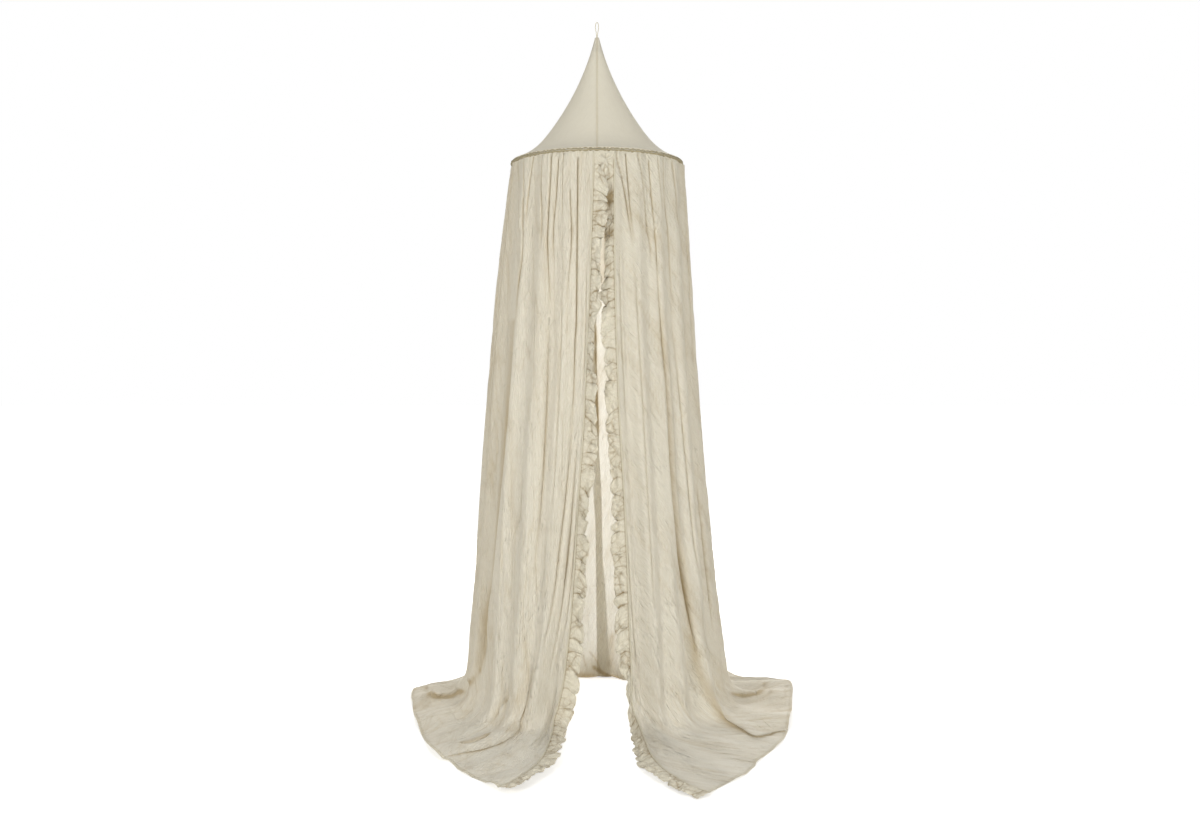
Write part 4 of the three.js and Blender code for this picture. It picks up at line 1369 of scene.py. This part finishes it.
# how much of each frill's width lies open, at these lengths; the rest is taken up by its crumples
frill_opens = {
    "left": ((0, 0.08, 0.1, 0.14, 0.17, 0.2, 0.23, 0.33, 0.38, 0.43, 0.47, 0.59, 0.64, 2.1),
             (0.9, 1.0, 0.9, 0.9, 1.0, 0.97, 0.87, 0.87, 0.97, 0.95, 0.6, 0.64, 1.0, 1.0)),
    "right": ((0, 0.06, 0.09, 0.33, 0.37, 0.48, 0.61, 1.3, 1.4, 1.44, 1.52, 1.57, 1.62, 1.7, 1.8, 2.1),
              (0.9, 0.9, 0.62, 0.62, 0.9, 0.95, 0.8, 1.0, 0.8, 0.32, 0.3, 0.5, 0.6, 0.78, 0.95, 1.0)),
}
lobe_lean = 0.45
lobe_waver = 0.08
pillow_power = 0.55
lobe_slide = 0.3
turn_waver, turn_patch = 0.15, 0.09
most_floor_turn = {"left": 0.15, "right": math.pi}
width_waver, width_patch = 0.1, 0.045
tip_shares = (0.1, 0.42)
print("frills", frill_width * 1000, "mm wide")

# %% Where a frill runs, and its lobes
smoothed_ways = 8


def smooth_line(line, passes=3):
    """Each inner point becomes a mean of itself and its neighbours, as many times as passes says."""
    for _ in range(passes):
        line = np.concatenate([line[:1], (line[:-2] + 2 * line[1:-1] + line[2:]) / 4, line[-1:]])
    return line


def frill_root(half):
    """Places along the front edge, with the ways to the gap, out of the face and along the edge, and how
    far each place lies on the floor."""
    rim = smooth_line(half["final"][:, half["edge"]])
    lengths = np.concatenate([[0], np.cumsum(np.linalg.norm(np.diff(rim, axis=0), axis=1))])
    at = np.arange(0, lengths[-1], frill_step)

    def resample(values):
        return np.stack([np.interp(at, lengths, values[:, k]) for k in range(3)], -1)

    root = resample(rim)
    to_gap = unit(resample(smooth_line(half["to_gap"], smoothed_ways)))
    out = unit(resample(smooth_line(half["normal"][:, half["edge"]], smoothed_ways)))
    along = unit(np.gradient(root, axis=0))
    on_floor = ease((at - lengths[hanging_rows]) / bend_height)[:, None]
    level_gap = unit(np.cross(along, (0, 0, 1))) * -half["sign"]
    to_gap = unit(mix(to_gap, level_gap, on_floor))
    out = unit(mix(out, np.array((0, 0, 1.0)), on_floor))
    return at, root, to_gap, out, along, on_floor


def lobe_marks(length, sizes, random):
    """Where the lobes of a frill meet, and each lobe's own random shares."""
    marks = [0.0]
    while marks[-1] < length:
        marks.append(marks[-1] + random.uniform(*sizes))
    return np.array(marks), random.uniform(0, 1, (len(marks) + 2, 4))


def lobes_at(side, line, reach):
    """The share of its lobe that each place is at, the lobe's length, and the lobe's own shares. The
    valleys between lobes lean, so they fan out over the frill."""
    random = np.random.default_rng(frill_seeds[side])
    marks, own = lobe_marks(line[-1, 0] + 0.2, frill_lobes[side], random)
    turns = np.interp(line, marks, np.arange(len(marks)))
    lean = np.interp(turns, np.arange(len(own)), 2 * own[:, 3] - 1)
    turns = turns + lobe_lean * lean * reach + lobe_waver * soft_noise(line, reach, 0.02, 0.4, 31)
    turns = np.clip(turns, 0, len(marks) - 1)
    lobe = np.minimum(turns.astype(int), len(own) - 1)
    lobe_length = np.interp(line, (marks[1:] + marks[:-1]) / 2, np.diff(marks))
    return turns - lobe, lobe_length, own[lobe, 0], own[lobe, 1], 2 * own[lobe, 2] - 1


print("lobes between", min(frill_lobes["left"]) * 1000, "and", max(frill_lobes["right"]) * 1000, "mm long")

# %% Crumples, gathers and shade of a frill
crumple_size, small_crumple_size = (0.021, 0.027), (0.01, 0.016)
crumple_slants = (0.35, 0.4)
crease_width, small_crease_width = 0.0015, 0.001
gather_pitch = 0.0042
gather_reach = 0.45
valley_width = 0.0017
root_shade, root_shade_width = 0.9, 0.0024
# high up on the right frill, painted shade stands for where it is folded back out of the light: how dark, how
# far below the hoop, how far spread
painted_fold_back = {"left": (), "right": ((1.2, 0.122, 0.025), (0.7, 0.222, 0.018))}


def crumples(side, line, reach):
    """How far the crumples stand up, from about -1 to 1, and how sharp their creases are."""
    down = reach * frill_width
    bent = line + 0.006 * soft_noise(line, down, 0.02, 0.02, 23)
    inside, border = cell_borders(bent, down + crumple_slants[0] * bent, *crumple_size, frill_seeds[side] + 2)
    bent = bent - crumple_slants[1] * reach * frill_width
    inside_small, border_small = cell_borders(bent, down, *small_crumple_size, frill_seeds[side] + 3)
    creases = bell(border, 0, crease_width) + 0.5 * bell(border_small, 0, small_crease_width)
    return 0.9 - 1.5 * inside - 0.5 * inside_small, creases


def frill_shade(side, line, reach, part, lobe_length, tall, creases, gathers):
    """Painted shade: dark in the valleys, along the seam, in creases and between gathers."""
    patchy = ease(0.6 + 0.9 * soft_noise(line, reach * frill_width, 0.03, 0.03, 33))
    from_valley = lobe_length * np.minimum(part, 1 - part)
    valley = bell(from_valley, 0, valley_width) * (0.6 + 0.4 * tall)
    shade = (valley * np.minimum(1, 0.4 + reach) + 0.5 * creases * patchy
             + root_shade * bell(reach * frill_width, 0, root_shade_width) + 0.2 * np.maximum(0, -gathers))
    for dark, below_hoop, spread in painted_fold_back[side]:
        shade += dark * bell(line, below_hoop, spread) * np.minimum(1, 5 * reach)
    return shade * ease(line / 0.06)


print("crumples about", crumple_size[0] * 1000, "mm wide")

# %% Frill grids
frill_swing = 0.012
crumple_rise = 0.0063
gather_rise = 0.0009
frill_sag = 0.01
floor_hold = 0.8
floor_lift = (0.002, 0.003)
free_side_clearance, frill_clearance = 0.004, 0.0004


def frill_grid(side):
    """Points, cloth places and shades of one frill, from its root to its free side."""
    half = halves[side]
    at, root, to_gap, out, along, on_floor = frill_root(half)
    reach = np.linspace(0, 1, frill_rows)[None, :]
    line = at[:, None] + 0 * reach
    part, lobe_length, tall, notched, slid = lobes_at(side, line, reach)
    pillow = np.sin(np.pi * np.clip(part, 0, 1)) ** pillow_power
    turn = (np.interp(line, *frill_turns[side])
            + turn_waver * soft_noise(line, 0 * line, turn_patch, 1, frill_seeds[side]))
    turn = half["sign"] * mix(turn, np.minimum(turn, most_floor_turn[side]), on_floor)
    uneven = 1 + width_waver * soft_noise(line, 0 * line, width_patch, 1, frill_seeds[side] + 1)
    tips = 1 - (tip_shares[0] + tip_shares[1] * notched) * (1 - pillow) ** 1.2 * reach
    width = (frill_width * mix(1, frill_floor_share, on_floor) * uneven * tips
             * np.interp(line, *frill_opens[side]))
    opened = reach ** 0.7
    crumple, creases = crumples(side, line, reach)
    gathers = (soft_noise(line, 0 * line, gather_pitch, 1, 24) * bell(reach, 0, gather_reach)
               * np.minimum(1, 12 * reach))
    swing = (frill_swing * (0.25 + 0.75 * tall) * (pillow - 0.2) * opened
             + crumple_rise * crumple * np.minimum(1, 2.5 * reach) + gather_rise * gathers)
    lift = np.maximum(floor_hold * swing, floor_lift[0] * reach) + floor_lift[1] * reach
    swing = mix(swing, lift, on_floor)
    slide = lobe_slide * lobe_length * slid * np.sin(np.pi * part) * opened * mix(1, 0.5, on_floor)
    sag = frill_sag * reach ** 2 * (1 - on_floor)
    flat_way = np.cos(turn)[..., None] * to_gap[:, None] + np.sin(turn)[..., None] * out[:, None]
    out_way = np.cos(turn)[..., None] * out[:, None] - np.sin(turn)[..., None] * to_gap[:, None]
    grid = (root[:, None] + (reach * width)[..., None] * flat_way + swing[..., None] * out_way
            + (slide + sag)[..., None] * along[:, None])
    grid[..., 2] -= on_floor * reach * (root[:, None, 2] - floor_level - free_side_clearance)
    grid[..., 2] = np.maximum(grid[..., 2], floor_level + frill_thickness / 2 + frill_clearance)
    shade = frill_shade(side, line, reach, part, lobe_length, tall, creases, gathers)
    uv = np.stack(np.broadcast_arrays(reach * frill_width, (at * frill_fullness)[:, None]), -1)
    way = -half["sign"]
    return grid[:, ::way], uv[:, ::way], shade[:, ::way]


for side in halves:
    grid, uv, shade = frill_grid(side)
    frill = band_mesh(f"{side}_frill_cloth", grid, uv, frill_thickness, np.clip(shade, 0, 1))
    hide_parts(f"{side}_frill")
    finish_half_piece(frill, frill_cloth)
    print(frill.name, len(frill.data.polygons), "faces")

# %% [markdown]
# ## The roof
#
# Four gores are sewn edge to edge and hang from the peak to the hoop, taut under the weight of the
# curtain. Taut cloth between two seams lies a little flatter than the circle, and each seam stands up
# as a thin ridge with a dip beside it. One grid covers the four gores, because their seams are closed.

# %% Roof cloth
roof_rows = 84
gore_columns = 40
seam_rise = 0.0006
seam_width = 0.0024
seam_line = 0.0014
seam_shade = 0.6
gore_flatness = 0.006
roof_line_share = 0.36
roof_curve_share = 0.47
roof_flare_power = 16
row_crowding = 1.35
column_crowding = 2.2
seam_dip, seam_dip_place = 0.8, 1.9
roof_waver = 0.0012
roof_waver_patch = (0.05, 0.11)


def roof_radius(level):
    """The radius at a level: a straight share, a curved share, and a sudden flare by the hoop."""
    down = np.clip((tip_level - level) / (tip_level - roof_base), 0, 1)
    flare = (1 - roof_line_share - roof_curve_share) * down ** roof_flare_power
    return mix(tip_radius, hoop_radius, roof_line_share * down + roof_curve_share * down ** 2 + flare)


def roof_grid(inset=0.0, bottom=roof_base, seams=True, rows=roof_rows):
    """Points, cloth places and shades of the four gores, from the tip down to bottom."""
    share = np.linspace(0, 1, rows)
    levels = mix(tip_level, bottom, 1 - (1 - share) ** row_crowding)
    # columns crowd towards each seam, where the ridge is narrow
    part = np.linspace(-1, 1, gore_columns, endpoint=False)
    crowded = np.sign(part) * np.abs(part) ** column_crowding
    angles = np.concatenate([(np.pi / 4) * (2 * gore + crowded) for gore in range(4)]) - np.pi / 2
    angles = np.append(angles, angles[0] + 2 * np.pi)
    radius = roof_radius(levels)[:, None] - inset
    from_seam = (angles[None] + np.pi / 4) % (np.pi / 2) - np.pi / 4
    radius = radius * (1 - gore_flatness * np.sin(2 * from_seam) ** 2)
    if seams:
        beside = np.abs(from_seam) * radius / seam_width
        ridge = bell(beside, 0, 1) - seam_dip * bell(beside, seam_dip_place, 1)
        radius = radius + seam_rise * ridge
        waver = soft_noise(angles * 0.25 + 0 * radius, levels[:, None], *roof_waver_patch, 3)
        radius = radius + roof_waver * waver * share[:, None]
    points = np.stack([radius * np.cos(angles), radius * np.sin(angles), levels[:, None] + 0 * radius], -1)
    length = np.concatenate([[0], np.cumsum(np.hypot(np.diff(levels), np.diff(radius[:, 0])))])
    from_middle = from_seam - np.where(from_seam < 0, -1, 1) * np.pi / 4
    uv = np.stack([from_middle * radius, length[:, None] + 0 * radius], -1)
    # painted shade along each seam
    shade = seam_shade * bell(np.abs(from_seam) * radius, 0, seam_line)
    return points[:, ::-1], uv[:, ::-1], shade[:, ::-1]


roof_points, roof_uv, roof_shade = roof_grid()
roof = sheet_mesh("roof_cloth", roof_points, roof_uv, roof_shade)
roof.data.materials.append(roof_cloth)
roof_nodes = [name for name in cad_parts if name.startswith("roof_")]
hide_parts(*roof_nodes)
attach(roof, "canopy")

# %% Lining of the peak
lining_depth = 0.048
lining_inset = 0.0022
lining_rows = 20
lining_thickness = 0.0012
lining_points, lining_uv, _ = roof_grid(lining_inset, tip_level - lining_depth, False, lining_rows)
lining = band_mesh("peak_lining_cloth", lining_points, lining_uv, lining_thickness)
lining.data.materials.append(roof_cloth)
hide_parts("peak_lining")
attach(lining, "canopy")
print("lining reaches", lining_depth * 1000, "mm down from the tip")

# %% [markdown]
# ## Things that repeat along a path
#
# Stitches, the puckers of the casing and the strands of the cord all repeat along a path, so each is a
# Geometry Nodes tree with named inputs. A tree is given a path as a mesh of edges. What it makes is
# baked into a plain mesh at once, and the modifier is taken off.

# %% Node tree helpers
def node_tree(name, inputs):
    """A tree that takes a path as geometry and these inputs, as {label: (socket type, value)}."""
    tree = bpy.data.node_groups.new(name, "GeometryNodeTree")
    tree.interface.new_socket(name="Path", in_out="INPUT", socket_type="NodeSocketGeometry")
    for label, (kind, value) in inputs.items():
        socket = tree.interface.new_socket(name=label, in_out="INPUT", socket_type=kind)
        if value is not None:
            socket.default_value = value
    tree.interface.new_socket(name="Made", in_out="OUTPUT", socket_type="NodeSocketGeometry")
    return tree, add_node(tree, "NodeGroupInput").outputs


def end_tree(tree, geometry, material):
    """Realizes, smooths and paints what the tree has made."""
    real = add_node(tree, "GeometryNodeRealizeInstances", links={0: geometry})
    smooth = add_node(tree, "GeometryNodeSetShadeSmooth", links={"Geometry": real})
    painted = add_node(tree, "GeometryNodeSetMaterial", links={"Geometry": smooth, "Material": material})
    add_node(tree, "NodeGroupOutput", links={0: painted})


def path_piece(name, paths, closed=False):
    """A mesh of edges along each path."""
    points, edges = [], []
    for path in paths:
        first = len(points)
        points.extend(np.asarray(path, float).tolist())
        edges.extend((k, k + 1) for k in range(first, len(points) - 1))
        if closed:
            edges.append((len(points) - 1, first))
    mesh = bpy.data.meshes.new(name)
    mesh.from_pydata(points, edges, [])
    piece = bpy.data.objects.new(name, mesh)
    bpy.context.scene.collection.objects.link(piece)
    return piece


def grow(piece, tree, values):
    """Runs a tree on a piece with these values for its named inputs, and keeps the mesh that it makes."""
    modifier = piece.modifiers.new(tree.name, "NODES")
    modifier.node_group = tree
    for item in tree.interface.items_tree:
        if item.in_out == "INPUT" and item.name in values:
            modifier[item.identifier] = values[item.name]
    piece.update_tag()
    bpy.context.view_layer.update()
    made = piece.evaluated_get(bpy.context.evaluated_depsgraph_get())
    mesh = bpy.data.meshes.new_from_object(made)
    piece.modifiers.clear()
    piece.data = mesh
    print(piece.name, len(mesh.polygons), "faces")
    return piece


# %% Tree: stitches along a path
stitch_tree, given = node_tree("stitches along a path", {
    "Spacing": ("NodeSocketFloat", 0.003), "Length": ("NodeSocketFloat", 0.0022),
    "Width": ("NodeSocketFloat", 0.0006), "Material": ("NodeSocketMaterial", None)})
curve = add_node(stitch_tree, "GeometryNodeMeshToCurve", links={0: given["Path"]})
spaced = add_node(stitch_tree, "GeometryNodeResampleCurve", {"mode": "LENGTH"},
                  links={"Curve": curve, "Length": given["Spacing"]})
thread = add_node(stitch_tree, "GeometryNodeMeshUVSphere", values={"Segments": 6, "Rings": 4, "Radius": 0.5})
way = add_node(stitch_tree, "GeometryNodeInputTangent")
turn = add_node(stitch_tree, "FunctionNodeAlignRotationToVector", {"axis": "X"}, links={"Vector": way})
size = add_node(stitch_tree, "ShaderNodeCombineXYZ",
                links={0: given["Length"], 1: given["Width"], 2: given["Width"]})
placed = add_node(stitch_tree, "GeometryNodeInstanceOnPoints",
                  links={"Points": spaced, "Instance": thread, "Rotation": turn, "Scale": size})
end_tree(stitch_tree, placed, given["Material"])
print(stitch_tree.name, "has", len(stitch_tree.nodes), "nodes")

# %% Tree: a cord of three strands
# three round strands that touch fill a circle of 2.155 times a strand's width; these sink in a little
strand_radius_share = 0.252
strand_reach_share = 0.258
rope_tree, given = node_tree("cord of three strands", {
    "Cord Width": ("NodeSocketFloat", 0.0024), "Turns": ("NodeSocketFloat", 12.0),
    "Step": ("NodeSocketFloat", 0.0006), "Material": ("NodeSocketMaterial", None)})
curve = add_node(rope_tree, "GeometryNodeMeshToCurve", links={0: given["Path"]})
spaced = add_node(rope_tree, "GeometryNodeResampleCurve", {"mode": "LENGTH"},
                  links={"Curve": curve, "Length": given["Step"]})
along_cord = add_node(rope_tree, "GeometryNodeSplineParameter")
whole_turns = add_node(rope_tree, "ShaderNodeMath", {"operation": "MULTIPLY"}, {1: 2 * math.pi},
                       {0: given["Turns"]})
twist = add_node(rope_tree, "ShaderNodeMath", {"operation": "MULTIPLY"},
                 links={0: along_cord.outputs["Factor"], 1: whole_turns})
twisted = add_node(rope_tree, "GeometryNodeSetCurveTilt", links={"Curve": spaced, "Tilt": twist})
strand_radius = add_node(rope_tree, "ShaderNodeMath", {"operation": "MULTIPLY"}, {1: strand_radius_share},
                         {0: given["Cord Width"]})
strand_reach = add_node(rope_tree, "ShaderNodeMath", {"operation": "MULTIPLY"}, {1: strand_reach_share},
                        {0: given["Cord Width"]})
strand = add_node(rope_tree, "GeometryNodeCurvePrimitiveCircle", values={"Resolution": 10},
                  links={"Radius": strand_radius})
triangle = add_node(rope_tree, "GeometryNodeCurvePrimitiveCircle", values={"Resolution": 3},
                    links={"Radius": strand_reach})
three = add_node(rope_tree, "GeometryNodeInstanceOnPoints", links={"Points": triangle, "Instance": strand})
section = add_node(rope_tree, "GeometryNodeRealizeInstances", links={0: three})
cord = add_node(rope_tree, "GeometryNodeCurveToMesh", values={"Fill Caps": True},
                links={"Curve": twisted, "Profile Curve": section})
end_tree(rope_tree, cord, given["Material"])
print(rope_tree.name, "has", len(rope_tree.nodes), "nodes")

# %% Tree: a tube of gathered cloth
# the tube is a strip whose two edges meet in the seam, so its section is not quite a whole circle
section_gap = 0.05
section_points = 15
# the puckers drift over patches of about 22 mm, and their fullness changes over about 14 mm
pucker_drift, pucker_drift_scale = 14, 45
pucker_size_scale = 70
tube_tree, given = node_tree("tube of gathered cloth", {
    "Tube Radius": ("NodeSocketFloat", 0.0055), "Depth": ("NodeSocketFloat", 0.0008),
    "Puckers": ("NodeSocketFloat", 240.0), "Steps": ("NodeSocketInt", 1600),
    "Material": ("NodeSocketMaterial", None)})
curve = add_node(tube_tree, "GeometryNodeMeshToCurve", links={0: given["Path"]})
spaced = add_node(tube_tree, "GeometryNodeResampleCurve", {"mode": "COUNT"},
                  links={"Curve": curve, "Count": given["Steps"]})
section = add_node(tube_tree, "GeometryNodeCurveArc",
                   values={"Resolution": section_points, "Start Angle": section_gap,
                           "Sweep Angle": 2 * math.pi - 2 * section_gap},
                   links={"Radius": given["Tube Radius"]})
tube = add_node(tube_tree, "GeometryNodeCurveToMesh", links={"Curve": spaced, "Profile Curve": section})
place = add_node(tube_tree, "GeometryNodeInputPosition")
axes = add_node(tube_tree, "ShaderNodeSeparateXYZ", links={0: place})
angle = add_node(tube_tree, "ShaderNodeMath", {"operation": "ARCTAN2"},
                 links={0: axes.outputs["Y"], 1: axes.outputs["X"]})
phase = add_node(tube_tree, "ShaderNodeMath", {"operation": "MULTIPLY"},
                 links={0: angle, 1: given["Puckers"]})
uneven = add_node(tube_tree, "ShaderNodeTexNoise", values={"Scale": pucker_drift_scale, "Detail": 2},
                  links={"Vector": place})
shifted = add_node(tube_tree, "ShaderNodeMath", {"operation": "MULTIPLY_ADD"}, {1: pucker_drift},
                   {0: uneven, 2: phase})
sine = add_node(tube_tree, "ShaderNodeMath", {"operation": "SINE"}, links={0: shifted})
half_up = add_node(tube_tree, "ShaderNodeMath", {"operation": "MULTIPLY_ADD"}, {1: 0.5, 2: 0.5}, {0: sine})
# some puckers are full and others hardly show
fullness = add_node(tube_tree, "ShaderNodeTexNoise", values={"Scale": pucker_size_scale, "Detail": 1},
                    links={"Vector": place})
doubled = add_node(tube_tree, "ShaderNodeMath", {"operation": "MULTIPLY"}, {1: 2}, {0: fullness})
wave = add_node(tube_tree, "ShaderNodeMath", {"operation": "MULTIPLY"}, links={0: half_up, 1: doubled})
deep = add_node(tube_tree, "ShaderNodeMath", {"operation": "MULTIPLY"}, links={0: wave, 1: given["Depth"]})
outward = add_node(tube_tree, "GeometryNodeInputNormal")
moved = add_node(tube_tree, "ShaderNodeVectorMath", {"operation": "SCALE"},
                 links={0: outward, "Scale": deep})
puckered = add_node(tube_tree, "GeometryNodeSetPosition", links={"Geometry": tube, "Offset": moved})
end_tree(tube_tree, puckered, given["Material"])
print(tube_tree.name, "has", len(tube_tree.nodes), "nodes")

# %% [markdown]
# ## The hoop and its casing
#
# The hoop is two half rings of plastic rod joined by two sleeves, and it runs in a casing that the
# curtain's gathers are caught into. The casing is ruched: it is longer than the hoop, so it puckers
# all the way round. Its cloth is painted darker than the curtain's, as painted shade for its puckers
# and its several layers. The rods and sleeves are the frame's own, inside the casing, and only get
# their materials.

# %% Casing
ring_points = 240
casing_core_radius = 0.0031
casing_values = {"Tube Radius": casing_core_radius, "Depth": 0.0022, "Puckers": 96.0, "Steps": 1600,
                 "Material": casing_cloth}
circle = np.linspace(0, 2 * np.pi, ring_points, endpoint=False)
ring = np.stack([hoop_radius * np.cos(circle), hoop_radius * np.sin(circle), 0 * circle + hoop_level], -1)
casing = path_piece("hoop_casing_cloth", [ring], closed=True)
grow(casing, tube_tree, casing_values)
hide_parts("hoop_casing")
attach(casing, "canopy")

# %% Materials of the solid pieces
def solid_material(name, colour, roughness, metallic=0, grain=0.0, grain_size=0.0004):
    """A plain solid with a fine grain in its surface, in object space."""
    material = bpy.data.materials.new(name)
    tree = blank_tree(material)
    where = add_node(tree, "ShaderNodeTexCoord").outputs["Object"]
    speckle = add_node(tree, "ShaderNodeTexNoise", values={"Scale": 1 / grain_size, "Detail": 2},
                       links={"Vector": where})
    bump = add_node(tree, "ShaderNodeBump", values={"Strength": 1, "Distance": grain},
                    links={"Height": speckle})
    surface = add_node(tree, "ShaderNodeBsdfPrincipled",
                       values={"Base Color": linear(colour), "Roughness": roughness, "Metallic": metallic},
                       links={"Normal": bump})
    add_node(tree, "ShaderNodeOutputMaterial", links={"Surface": surface})
    return material


rod_plastic = solid_material("extruded white PVC rod", "e6e4de", 0.42, grain=0.00002)
sleeve_metal = solid_material("drawn aluminium tube", "b9bbbd", 0.36, 1.0, grain=0.00001)
cord_cotton = solid_material("twisted cotton cord", "d6cfba", 0.9, grain=0.00015, grain_size=0.0003)
thread_cotton = solid_material("cotton sewing thread", "c6bfa9", 0.85, grain=0.00003, grain_size=0.0001)
for name, material in (("hoop_rod_left", rod_plastic), ("hoop_rod_right", rod_plastic),
                       ("hoop_sleeve_front", sleeve_metal), ("hoop_sleeve_back", sleeve_metal)):
    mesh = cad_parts[name].data
    mesh.materials.clear()
    mesh.materials.append(material)
print("hoop: two rods, two sleeves and their casing")

# %% [markdown]
# ## The hanging loop
#
# A short cotton cord is doubled: its bend is the eye that goes over the hook, its two legs pass through
# the tip of the roof, and a knot inside the lining keeps them from pulling out. The cord is held all
# the way, so its route is drawn and not left to fall.

# %% Loop
cord_width = 0.0024
cord_lay = 0.0078
cord_step = 0.0005
eye_half_width = 0.0033 + cord_width / 2
eye_length = 0.029
stem_length = 0.015
leg_reach = 0.00135
leg_in_knot = 0.001
knot_level = -0.0594
knot_half_height = 0.005
route_points = 160
# the eye's outline: shares of its half width, and of its height from the stem to the top
eye_shares = [(0.5, 0.02), (0.76, 0.2), (1, 0.5), (0.93, 0.8), (0.62, 0.98)]

leg_levels = (knot_level + knot_half_height - leg_in_knot, tip_level, tip_level + stem_length / 2)
leg = [(leg_reach, 0, level) for level in leg_levels]
eye = [(eye_half_width * across, 0, eye_length * (up - 1)) for across, up in eye_shares]
right_side = leg + eye
left_side = [(-x, y, z) for x, y, z in reversed(right_side)]
top = [(0, 0, cord_width / 2)]
route = along_points(right_side + top + left_side, np.linspace(0, 1, route_points))
loop_length = float(np.linalg.norm(np.diff(route, axis=0), axis=1).sum())
loop = path_piece("hanging_loop_cord", [route])
grow(loop, rope_tree, {"Cord Width": cord_width, "Turns": loop_length / cord_lay, "Step": cord_step,
                       "Material": cord_cotton})
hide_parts("hanging_loop")

# %% Knot
knot_cord_width = 0.003
knot_turns = 5.0
knot_points = 120
knot_radius = 0.0022
knot_rise = 0.0026
petal = 0.9

# a trefoil: its petals come from a turn of twice the angle, and it passes over and under three times
knot_turn = np.linspace(0, 2 * np.pi, knot_points)
knot_route = np.stack([knot_radius * (np.sin(knot_turn) + petal * np.sin(2 * knot_turn)),
                       knot_radius * (np.cos(knot_turn) - petal * np.cos(2 * knot_turn)),
                       knot_level - knot_rise * np.sin(3 * knot_turn)], -1)
knot = path_piece("loop_knot_cord", [knot_route])
grow(knot, rope_tree, {"Cord Width": knot_cord_width, "Turns": knot_turns, "Step": cord_step,
                       "Material": cord_cotton})
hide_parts("loop_knot")
for piece in (loop, knot):
    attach(piece, "hanger")
print("cord in the loop, without the knot:", round(loop_length, 3), "m")

# %% [markdown]
# ## Stitching
#
# Rows of stitches run down each binding, along each hem and beside each seam of the roof. The thread
# lies in the cloth, so each stitch is a small flattened grain, half sunk.

# %% Stitches
stitch_spacing = 0.0034
stitch_size = {"Length": 0.0026, "Width": 0.0005, "Spacing": stitch_spacing, "Material": thread_cotton}
binding_stitch_step = 0.0022
hem_stitch_share = 0.8
hem_stitch_lift = 0.0003
seam_stitch_offset = 0.0036
seam_stitch_top, seam_stitch_bottom = tip_level - 0.02, roof_base + 0.002
seam_points = 120

for side, half in halves.items():
    edge = half["edge"]
    inward, normal = half["sign"] * half["across"][:, edge], half["normal"][:, edge]
    rim, bottom = half["final"][:, edge], half["final"][-1]
    up = unit(half["final"][-4] - bottom)
    down_edge = rim + binding_stitch_step * inward + binding_thickness / 2 * normal
    along_hem = bottom + hem_stitch_share * hem_depth * up
    along_hem[:, 2] += hem_stitch_lift
    piece = path_piece(f"{side}_stitches", [down_edge, along_hem])
    grow(piece, stitch_tree, stitch_size)
    finish_half_piece(piece, thread_cotton)

seam_lines = []
levels = np.linspace(seam_stitch_top, seam_stitch_bottom, seam_points)
radius = roof_radius(levels)
for quarter in range(4):
    for offset in (-seam_stitch_offset, seam_stitch_offset):
        angle = quarter * np.pi / 2 + offset / radius
        seam_lines.append(np.stack([radius * np.cos(angle), radius * np.sin(angle), levels], -1))
roof_stitches = path_piece("roof_stitches", seam_lines)
grow(roof_stitches, stitch_tree, stitch_size)
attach(roof_stitches, "canopy")

# %% Count of sheets
print("sheets:", 2 * len(halves) + 3)
